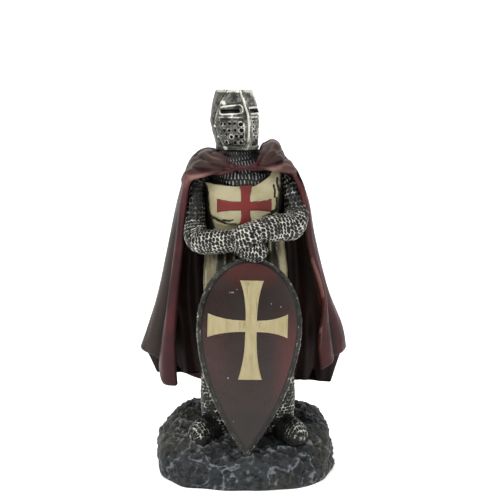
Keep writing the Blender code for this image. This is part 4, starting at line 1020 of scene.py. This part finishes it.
def make_cloak():
    turns = cloak_turns()[None]
    level = np.linspace(0, CLOAK_HEM_LEVEL, CLOAK_LEVEL_STEPS + 1)[:, None]
    u, level = np.broadcast_arrays(turns, level)
    plain = cloak_base(u, level)
    hang = cloak_hang(level)
    stretched = np.stack((u * 150, level * 3.0, 0 * u), axis=-1)
    soft = layers(stretched, 6.0, 3, 61)
    extra = 0.35 * soft * (0.3 + 0.7 * hang)
    high = 0.62 + 0.2 * cloak_fold(u, level) / CLOAK_HANG_HEIGHT + 0.12 * soft
    mantle = step(4.6, 3.2, level) * step(3.0, -2.0, plain[..., 1])
    for height, width, line in MANTLE:
        share = line_share(plain[..., 0], plain[..., 2], line, width, 1.3) * mantle
        extra = extra + height * share
        high = high + 0.45 * np.sign(height) * share
    edge = np.minimum(u, 1 - u)
    high = high + 0.2 * np.exp(-(edge / 0.012) ** 2)
    # worn paint along the right front edge
    worn = step(0.1, 0.3, lumps(stretched * (3, 3, 3) + 40, 2.0, 77)) * step(0.009, 0.003, 1 - u)
    high = high + 0.35 * worn * step(5.0, 5.3, level) * step(7.4, 6.9, level)
    outer = cloak_point(u, level, 0.0, extra)
    inner = cloak_point(u, level, CLOAK_THICKNESS)
    middle = (outer + inner) / 2
    reach = 0.01
    out = [cloak_base(e, level[:, 0]) - cloak_base(abs(e - reach), level[:, 0]) for e in (1.0, 0.0)]
    out = [v / np.linalg.norm(v, axis=-1, keepdims=True) * CLOAK_EDGE_ROUNDING for v in out]
    half = (outer - inner) / 2

    def rounded(side, sign):
        """Points that round a front edge, from the outer face to the inner one or back."""
        ring = []
        for lift in (60.0, 30.0, 0.0, -30.0, -60.0):
            lean = math.radians(lift) * sign
            k = -1 if side == 0 else 0
            ring.append(middle[:, k] + half[:, k] * math.sin(lean) + out[side] * math.cos(lean))
        return np.stack(ring, axis=1)

    right = rounded(0, 1)
    left = rounded(1, -1)
    grid = np.concatenate((outer, right, inner[:, ::-1], left), axis=1)
    # extra rings that round the collar and the hem
    down = [np.array((0, 0, 1.0)), np.array((0, 0, -1.0))]
    rings = []
    centre = np.concatenate((middle, np.repeat(middle[:, -1:], 5, 1), middle[:, ::-1],
                             np.repeat(middle[:, :1], 5, 1)), axis=1)
    for lift in (70.0, 35.0):
        lean = math.radians(lift)
        rings.append(centre[0] + (grid[0] - centre[0]) * math.cos(lean) + down[0] * 0.9 * math.sin(lean))
    for row in range(len(grid)):
        rings.append(grid[row])
    for lift in (35.0, 70.0):
        lean = math.radians(lift)
        rings.append(centre[-1] + (grid[-1] - centre[-1]) * math.cos(lean) + down[1] * 0.9 * math.sin(lean))
    grid = np.array(rings)
    # Olive-brown over the cloak's left side below the shoulder: painted shade where it turns from the light;
    # over the shoulders: a painted sheen, greyer where the gloss shows; random olive patches elsewhere, and
    # some on the inner face.
    tint_and_painted_light = 1.0 * step(0.07, 0.1, u) * step(0.3, 0.2, u) * step(2.6, 5.0, level)
    tint_and_painted_light = tint_and_painted_light + 0.45 * step(3.6, 2.6, level) * step(0.3, 0.6, level)
    tint_and_painted_light = np.clip(tint_and_painted_light + 0.35 * step(-0.4, 0.5, lumps(plain, 14.0, 4)) * step(0.02, 0.06, edge), 0, 1)

    def spread(values, inside, ends):
        body = np.concatenate((values, np.repeat(values[:, -1:], 5, 1), values[:, ::-1] * 0 + inside,
                               np.repeat(values[:, :1], 5, 1)), axis=1)
        return np.concatenate((body[:1], body[:1], body, body[-1:] + ends, body[-1:] + ends))

    high = spread(high, 0.45, 0.1)
    tint_and_painted_light = spread(tint_and_painted_light, 0.3, 0.0)
    rows, columns = grid.shape[:2]
    faces = ring_faces(rows, columns).tolist()
    last = (rows - 1) * columns
    ring = np.arange(columns)
    # the ring starts in the middle of the left rounding, so the two sides of each end pair up
    pairs = np.roll(ring, 2)
    half_count = columns // 2
    for row, flip in ((0, False), (last, True)):
        for k in range(half_count - 1):
            corners = (pairs[k], pairs[k + 1], pairs[columns - 2 - k], pairs[columns - 1 - k])
            quad = [row + corner for corner in corners]
            faces.append([int(v) for v in (quad[::-1] if flip else quad)])
    add_piece("cloak", grid.reshape(-1, 3), faces, PAINT["cloak"], high.ravel(), tint_and_painted_light.ravel())


def make_lining():
    rows, columns = 90, 150
    first, last = LINING_LEVELS
    level = np.linspace(first, last, rows)[:, None]
    share = (level - first) / (last - first)
    start = LINING_START[0] + (LINING_START[1] - LINING_START[0]) * share
    front = LINING_FRONT[0] + (LINING_FRONT[1] - LINING_FRONT[0]) * share
    u = start + (1 - 2 * start) * np.linspace(0, 1, columns)[None]
    arc = cloak_point(u, level + 0 * u, LINING_DEPTH)
    t = np.linspace(0, 1, 112)[None, 1:-1, None]
    line = arc[:, -1:] + (arc[:, :1] - arc[:, -1:]) * t
    folds = 0.8 * np.sin(line[..., 0] * 0.85 + 0.03 * line[..., 2]) + 0.6 * lumps(line * (1, 1, 0.3), 5.0, 3)
    ease = step(0.0, 0.12, t[..., 0]) * step(1.0, 0.88, t[..., 0])
    line[..., 1] = line[..., 1] * (1 - ease) + (front + folds) * ease
    drop = LINING_DROP[1] + (LINING_DROP[0] - LINING_DROP[1]) * t[..., 0]
    late = share ** LINING_DROP_POWER * step(0.0, 0.02, t[..., 0]) * step(1.0, 0.98, t[..., 0])
    line[..., 0] *= 1 - LINING_SQUEEZE * late
    line[..., 2] -= drop * late
    grid = np.concatenate((arc, line), axis=1)
    high = np.concatenate((0 * arc[..., 0] + 0.4, 0.45 + 0.12 * folds), axis=1)
    tube("lining", grid, PAINT["lining"], None, high)


def make_throat():
    """The twisted band across the throat, its gathers and the loose end."""
    rows, columns = 90, 36
    x = np.linspace(CORD_ENDS[0] - 1.5, CORD_ENDS[1] + 1.5, rows)[:, None]
    turn = np.linspace(0, 2 * math.pi, columns, endpoint=False)[None]
    twist = np.cos(3 * turn + x * 1.3)
    radius = CORD_RADIUS * (0.85 + 0.18 * twist)
    y = CORD_Y + CORD_BEND * x * x - radius * np.cos(turn)
    grid = np.stack((x + 0 * turn, y, CORD_Z - 0.015 * x * x + radius * np.sin(turn)), axis=-1)
    tube("throat_band", grid, PAINT["cloak"], None, 0.62 + 0.25 * twist)
    for name, path in (
        ("gather_left", ((-2.2, -15.0, 121.2, 0.5, 0.5), (-4.0, -15.0, 121.5, 1.3, 1.3),
                         (-6.0, -14.8, 121.4, 1.7, 1.5),
                         (-8.4, -14.4, 121.2, 1.2, 1.2), (-10.4, -14.0, 121.0, 0.5, 0.5))),
        ("gather_right", ((2.0, -14.9, 121.4, 0.5, 0.5), (3.8, -14.8, 121.9, 1.2, 1.3),
                          (5.6, -14.4, 121.9, 1.6, 1.4),
                          (8.0, -13.9, 121.5, 1.1, 1.1), (10.0, -13.4, 121.0, 0.5, 0.5))),
        ("loose_end", ((-3.6, -15.4, 121.2, 0.6, 0.6), (-5.2, -15.7, 120.3, 1.1, 0.9),
                       (-7.0, -15.6, 119.8, 1.4, 0.8),
                       (-9.4, -15.2, 119.4, 1.2, 0.8), (-11.6, -14.6, 119.2, 0.5, 0.5))),
    ):
        cloth_roll(name, path)


def cloth_roll(name, path):
    """A pinched roll of cloth with grooves along it."""
    rows, columns = 60, 40
    place = spline(path, np.linspace(0, len(path) - 1, rows))
    tangent = np.gradient(place[:, :3], axis=0)
    tangent /= np.linalg.norm(tangent, axis=1, keepdims=True)
    across = np.cross(tangent, (0.0, 0.0, 1.0))
    across /= np.linalg.norm(across, axis=1, keepdims=True)
    up = np.cross(across, tangent)
    turn = np.linspace(0, 2 * math.pi, columns, endpoint=False)
    groove = 1 + 0.14 * np.cos(5 * turn + 0.4)
    grid = (place[:, None, :3] + across[:, None] * (place[:, 3:4] * np.cos(turn) * groove)[..., None]
            + up[:, None] * (place[:, 4:5] * np.sin(turn) * groove)[..., None])
    tube(name, grid, PAINT["cloak"], None, 0.6 + 2.0 * (groove - 1) + 0 * place[:, 3:4])


def shield_matrix():
    turn = Matrix.Rotation(math.radians(SHIELD_TURN), 4, "Z")
    lean = Matrix.Rotation(math.radians(-SHIELD_LEAN), 4, "X")
    tilt = Matrix.Rotation(math.radians(SHIELD_TILT), 4, "Y")
    return np.array(Matrix.Translation(SHIELD_CENTRE) @ turn @ lean @ tilt)


def on_shield_place(points):
    matrix = shield_matrix()
    return points @ matrix[:3, :3].T + matrix[:3, 3]


def shield_outline(turn):
    """The kite's outline: a half ellipse above its widest line and a curved taper to the tip below."""
    across = np.cos(turn)
    rise = np.sin(turn)
    drop = np.maximum(-rise, 0.0)
    share = 1 - np.maximum(1 - drop, 0.0) ** SHIELD_SHOULDER
    tapered = SHIELD_HALF_WIDTH * (1 - share ** SHIELD_TAPER)
    half = np.where(rise >= 0, SHIELD_HALF_WIDTH * np.abs(across), tapered)
    z = np.where(rise >= 0, SHIELD_UPPER * rise, -SHIELD_LOWER * share)
    return np.copysign(half, across), z


def shield_share(x, z):
    """How far out a point of the face lies: 0 at the middle and 1 at the edge."""
    x, z = np.broadcast_arrays(np.asarray(x, dtype=float), np.asarray(z, dtype=float))
    upper = np.hypot(x / SHIELD_HALF_WIDTH, z / SHIELD_UPPER)
    low = np.zeros(x.shape)
    high = np.full(x.shape, 1.4)
    for _ in range(24):
        middle = (low + high) / 2
        drop = np.minimum(1.0, -z / (SHIELD_LOWER * np.maximum(middle, 1e-6)))
        inside = (np.abs(x) <= SHIELD_HALF_WIDTH * middle * (1 - np.abs(drop) ** SHIELD_TAPER)) & (drop < 1.0)
        high = np.where(inside, middle, high)
        low = np.where(inside, low, middle)
    return np.where(z >= 0, upper, high)


def shield_face(x, z):
    """How far the face stands in front of the shield's back."""
    share = np.minimum(1.0, shield_share(x, z))
    return SHIELD_THICKNESS + SHIELD_BULGE * (1 - share ** SHIELD_BULGE_POWER)


def make_shield():
    columns = 320
    turn = np.linspace(0, 2 * math.pi, columns, endpoint=False) + math.pi / 2
    x, z = shield_outline(turn)
    shares = np.concatenate((np.linspace(0.03, 0.9, 46), np.linspace(0.91, 1.0, 10)))[:, None]
    face = np.stack((x * shares, -shield_face(x * shares, z * shares), z * shares), axis=-1)
    worn = layers(face, 9.0, 3, 3)
    face[..., 1] -= 0.06 * worn * (shares < 0.97)
    depth = SHIELD_THICKNESS - SHIELD_RIM_STEP
    rows_of_wall = ((1.0, depth - 0.6), (1.0, 0.3), (0.97, 0.1))
    walls = [np.stack((x * s, 0 * x - d, z * s), axis=-1) for s, d in rows_of_wall]
    grid = np.concatenate((face, np.array(walls)))
    rows = len(grid)
    high = 0.5 + 0.1 * layers(grid, 6.0, 2, 8)
    high[: len(shares)] -= 0.6 * step(0.94, 0.965, shares)
    high = high + 0.9 * step(0.86, 0.95, lumps(grid, 1.3, 44))
    # redder patches on the face, at the top, low on the right and a little on the left: painted reflections
    # of the lamps in the gloss, with random patches
    tint_and_painted_light = (0.85 * step(12.0, 21.0, grid[..., 2]) * step(17.0, 4.0, np.abs(grid[..., 0]))
            + 0.85 * step(7.0, 15.0, grid[..., 0]) * step(12.0, -6.0, grid[..., 2])
            * step(-44.0, -30.0, grid[..., 2])
            + 0.3 * step(-6.0, -14.0, grid[..., 0]) * step(6.0, -4.0, grid[..., 2])
            * step(-30.0, -12.0, grid[..., 2]))
    tint_and_painted_light = np.clip(tint_and_painted_light + 0.12 * layers(grid, 9.0, 2, 3), 0, 1)
    placed = on_shield_place(grid.reshape(-1, 3)).reshape(rows, columns, 3)
    tube("shield", placed, PAINT["shield"], None, high, tint_and_painted_light)
    # the rim: a hammered metal band round the edge
    columns = 520
    turn = np.linspace(0, 2 * math.pi, columns, endpoint=False) + math.pi / 2
    x, z = shield_outline(turn)
    half_height = (SHIELD_UPPER + SHIELD_LOWER) / 2
    section = ((-0.55, 0.0), (-0.6, 2.4), (-0.45, 3.5), (-0.15, 3.65), (0.3, 3.35), (0.7, 3.3), (1.0, 3.45),
               (1.25, 3.2), (1.4, 2.6), (1.4, 1.0), (1.3, 0.2), (0.9, 0.0), (0.3, -0.05))
    rings = []
    around = spline(section + section[:1], np.linspace(0, len(section), 24, endpoint=False))
    grid_out = around[None, :, 0]
    for out, forward in around:
        wide = 1 + out / SHIELD_HALF_WIDTH
        tall = 1 + out / half_height
        rings.append(np.stack((x * wide, 0 * x - forward, z * tall), axis=-1))
    grid = np.array(rings).transpose(1, 0, 2)
    hammer = layers(grid, 1.4, 3, 5)
    grid = grid + normals_of_ring(grid) * (0.12 * hammer)[..., None]
    placed = on_shield_place(grid.reshape(-1, 3)).reshape(grid.shape)
    index = np.arange(placed.shape[0] * placed.shape[1]).reshape(placed.shape[:2])
    beside = np.roll(index, -1, axis=1)
    after = np.roll(index, -1, axis=0)
    corner = np.roll(after, -1, axis=1)
    faces = np.stack((index, beside, corner, after), axis=-1).reshape(-1, 4).tolist()
    add_piece("shield_rim", placed.reshape(-1, 3), faces, PAINT["rim"],
              (0.36 + 0.24 * hammer + 0.25 * np.exp(-((grid_out - 1.1) / 0.3) ** 2)
               + 0.2 * np.exp(-((grid_out + 0.1) / 0.22) ** 2)).ravel())


def normals_of_ring(grid):
    """Outward directions on a band that closes both ways."""
    along = np.roll(grid, -1, axis=0) - np.roll(grid, 1, axis=0)
    across = np.roll(grid, -1, axis=1) - np.roll(grid, 1, axis=1)
    normal = np.cross(across, along)
    normal /= np.maximum(np.linalg.norm(normal, axis=-1, keepdims=True), 1e-9)
    middle = grid.mean(axis=1, keepdims=True)
    return normal if np.sum(normal * (grid - middle)) > 0 else -normal


def make_cross(name, sizes, middle, surface, paint, lengthwise, widthwise, streaks):
    """A flared cross that follows a surface, with the marks of the brush along it."""
    up, down, left, right, waist, end = sizes
    flat = []
    quads = []
    seen = {}

    def index(x, z, edge):
        key = (round(x, 4), round(z, 4))
        if key not in seen:
            seen[key] = len(flat)
            flat.append((x, z, edge))
        return seen[key]

    across = np.linspace(-1, 1, widthwise + 1)
    for k in range(widthwise):
        for n in range(widthwise):
            corners = ((n, k), (n + 1, k), (n + 1, k + 1), (n, k + 1))
            quads.append([index(waist * across[a], waist * across[b], 1.0) for a, b in corners])
    for dx, dz, length in ((0, 1, up), (0, -1, down), (-1, 0, left), (1, 0, right)):
        for k in range(lengthwise):
            for n in range(widthwise):
                corners = []
                for a, b in ((k, n), (k, n + 1), (k + 1, n + 1), (k + 1, n)):
                    share = a / lengthwise
                    out = waist + (length - waist) * share
                    half = waist + (end - waist) * share ** CROSS_FLARE
                    side = half * across[b]
                    inner = min(half - abs(side), (length - out))
                    corners.append(index(dx * out + abs(dz) * side, dz * out + abs(dx) * side, inner))
                if dx + dz < 0:
                    corners = corners[::-1]
                if dx:
                    corners = corners[::-1]
                quads.append(corners)
    flat = np.array(flat)
    edge = step(-0.05, 0.5, flat[:, 2])
    x, z = flat[:, 0] + middle[0], flat[:, 1] + middle[1]
    brush = lumps(np.stack((flat[:, 0] * streaks[0], flat[:, 1] * streaks[1], 0 * x), axis=-1), 1.0, 9)
    front = surface(x, z, CROSS_RELIEF * (0.45 + 0.55 * edge) + 0.05 * brush * edge)
    back = surface(x, z, 0 * x - CROSS_ROOT)
    count = len(flat)
    uses = {}
    for quad in quads:
        for a, b in zip(quad, quad[1:] + quad[:1]):
            uses.setdefault(frozenset((a, b)), []).append((a, b))
    faces = [q[::-1] for q in quads] + [[k + count for k in q] for q in quads]
    for sides in uses.values():
        if len(sides) == 1:
            a, b = sides[0]
            faces.append([a, b, b + count, a + count])
    high = np.concatenate((0.5 + 0.3 * brush + 0.35 * (1 - edge), np.full(count, 0.3)))
    return add_piece(name, np.concatenate((front, back)), faces, paint, high)


def on_shield(x, z, proud):
    return on_shield_place(np.stack((x, -shield_face(x, z) - proud, z), axis=-1))


def on_chest(x, z, proud):
    """A point of the surcoat's front over a place seen from the front."""
    half_width = profile(TORSO, z)[0]
    across = np.minimum(0.999, np.abs(x) / half_width) ** (TORSO_SQUARENESS / 2)
    turn = -np.arccos(np.copysign(across, x))
    point = torso_point(turn, z)
    return np.stack((x, point[..., 1] - proud, z), axis=-1)


def shade_hollows(reach=5.0, count=40, least=0.12):
    """Finds how open the place round each point is, as a guide for the dark wash, which also paints shade
    into closed places.
    """
    points = []
    faces = []
    total = 0
    spans = []
    for thing in PIECES:
        mesh = thing.data
        place = np.zeros(len(mesh.vertices) * 3)
        mesh.vertices.foreach_get("co", place)
        points.append(place.reshape(-1, 3) / MM)
        faces += [tuple(v + total for v in polygon.vertices) for polygon in mesh.polygons]
        spans.append((total, total + len(mesh.vertices)))
        total += len(mesh.vertices)
    tree = BVHTree.FromPolygons(np.concatenate(points).tolist(), faces)
    lift = (np.arange(count) + 0.5) / count * 2 - 1
    spin = np.arange(count) * math.pi * (3 - math.sqrt(5))
    flat = np.sqrt(1 - lift ** 2)
    directions = np.stack((np.cos(spin) * flat, np.sin(spin) * flat, lift), axis=1)
    rays = [Vector(d) for d in directions]
    for thing, place in zip(PIECES, points):
        mesh = thing.data
        normal = np.zeros(len(mesh.vertices) * 3)
        mesh.vertices.foreach_get("normal", normal)
        normal = normal.reshape(-1, 3)
        facing = normal @ directions.T
        starts = place + normal * 0.05
        result = np.ones(len(place))
        for k in range(len(place)):
            start = Vector(starts[k])
            seen = 0.0
            clear = 0.0
            for n in np.nonzero(facing[k] > least)[0][::2]:
                weight = facing[k, n]
                seen += weight
                distance = tree.ray_cast(start, rays[n], reach)[3]
                clear += weight if distance is None else weight * (distance / reach) ** 1.5
            if seen:
                result[k] = clear / seen
        mesh.attributes["open"].data.foreach_set("value", result)


def make_stage():
    """A pale floor that curves up behind the figure."""
    bend = [(-1.2, 0.0), (0.5, 0.0), (0.62, 0.012), (0.73, 0.05),
            (0.82, 0.12), (0.88, 0.22), (0.9, 0.35), (0.9, 1.4)]
    points = [(x, y, z) for y, z in bend for x in (-1.6, 1.6)]
    faces = [(2 * k, 2 * k + 1, 2 * k + 3, 2 * k + 2) for k in range(len(bend) - 1)]
    mesh = bpy.data.meshes.new("floor")
    mesh.from_pydata(points, [], faces)
    mesh.polygons.foreach_set("use_smooth", [True] * len(faces))
    paper = bpy.data.materials.new("floor_paper")
    paper.use_nodes = True
    tree = paper.node_tree
    shader = tree.nodes["Principled BSDF"]
    place = add_node(tree, "TexCoord").outputs["Object"]
    shade = cloud(tree, place, 60.0, 2.0)
    pale = blend(tree, shade, (0.90, 0.90, 0.89, 1), (0.93, 0.93, 0.925, 1))
    tree.links.new(pale, shader.inputs["Base Color"])
    shader.inputs["Roughness"].default_value = 0.8
    shader.inputs["Emission Color"].default_value = (1.0, 1.0, 1.0, 1.0)
    shader.inputs["Emission Strength"].default_value = 0.45
    mesh.materials.append(paper)
    floor = bpy.data.objects.new("floor", mesh)
    bpy.context.scene.collection.objects.link(floor)


def add_light(name, place, size, power_watts, colour=(1.0, 1.0, 1.0)):
    """A soft square lamp that points at the middle of the figure."""
    lamp = bpy.data.lights.new(name, "AREA")
    lamp.size = size
    lamp.energy = power_watts
    lamp.color = colour
    thing = bpy.data.objects.new(name, lamp)
    bpy.context.scene.collection.objects.link(thing)
    thing.location = place
    thing.rotation_euler = (Vector((0.0, 0.0, 0.075)) - Vector(place)).to_track_quat("-Z", "Y").to_euler()


def make_camera_and_light():
    lens = bpy.data.cameras.new("camera")
    lens.sensor_width = SENSOR
    lens.lens = SENSOR * CAMERA_FOCUS / PICTURE
    lens.clip_start = 0.01
    camera = bpy.data.objects.new("camera", lens)
    bpy.context.scene.collection.objects.link(camera)
    camera.location = CAMERA_PLACE
    camera.rotation_euler = (math.radians(90 - CAMERA_DROP), 0.0, 0.0)
    bpy.context.scene.camera = camera
    add_light("key", (-0.3, -0.5, 0.6), 0.35, 3.0)
    add_light("fill", (0.6, -0.45, 0.3), 0.4, 0.9)
    add_light("top", (0.0, 0.05, 0.8), 0.5, 3.0)
    world = bpy.data.worlds.new("studio")
    world.use_nodes = True
    sky = world.node_tree.nodes["Background"]
    sky.inputs["Color"].default_value = (1.0, 1.0, 1.0, 1.0)
    sky.inputs["Strength"].default_value = 0.45
    bpy.context.scene.world = world
    bpy.context.scene.view_settings.view_transform = "Standard"


make_camera_and_light()
make_stage()
make_rock()
for side in (0, 1):
    make_leg(side)
    make_foot(side)
make_surcoat()
make_cross("chest_cross", CHEST_CROSS, CHEST_CROSS_MIDDLE, on_chest, PAINT["red"], 24, 12, (0.6, 2.4))
make_coif()
make_helm()
make_helm_bar()
limb("arm_left", ARM_LEFT, PAINT["mail"], 270, 120, 11, (1.75, 1.4), (0.62, 0.86))
limb("arm_right", ARM_RIGHT, PAINT["mail"], 270, 120, 12, (1.75, 1.4), (0.68, 0.9))
limb("hand_lower", HAND_LOWER, PAINT["mail"], 70, 100, 14, (1.1, 1.1), (0.75, 0.85), 0.3)
limb("hand_upper", HAND_UPPER, PAINT["mail"], 70, 110, 15, (1.2, 1.2), (0.9, 0.95), 0.3)
make_cloak()
make_lining()
make_throat()
make_shield()
make_cross("shield_cross", SHIELD_CROSS, SHIELD_CROSS_MIDDLE, on_shield, PAINT["cream"], 50, 16, (3.0, 0.25))
shade_hollows()
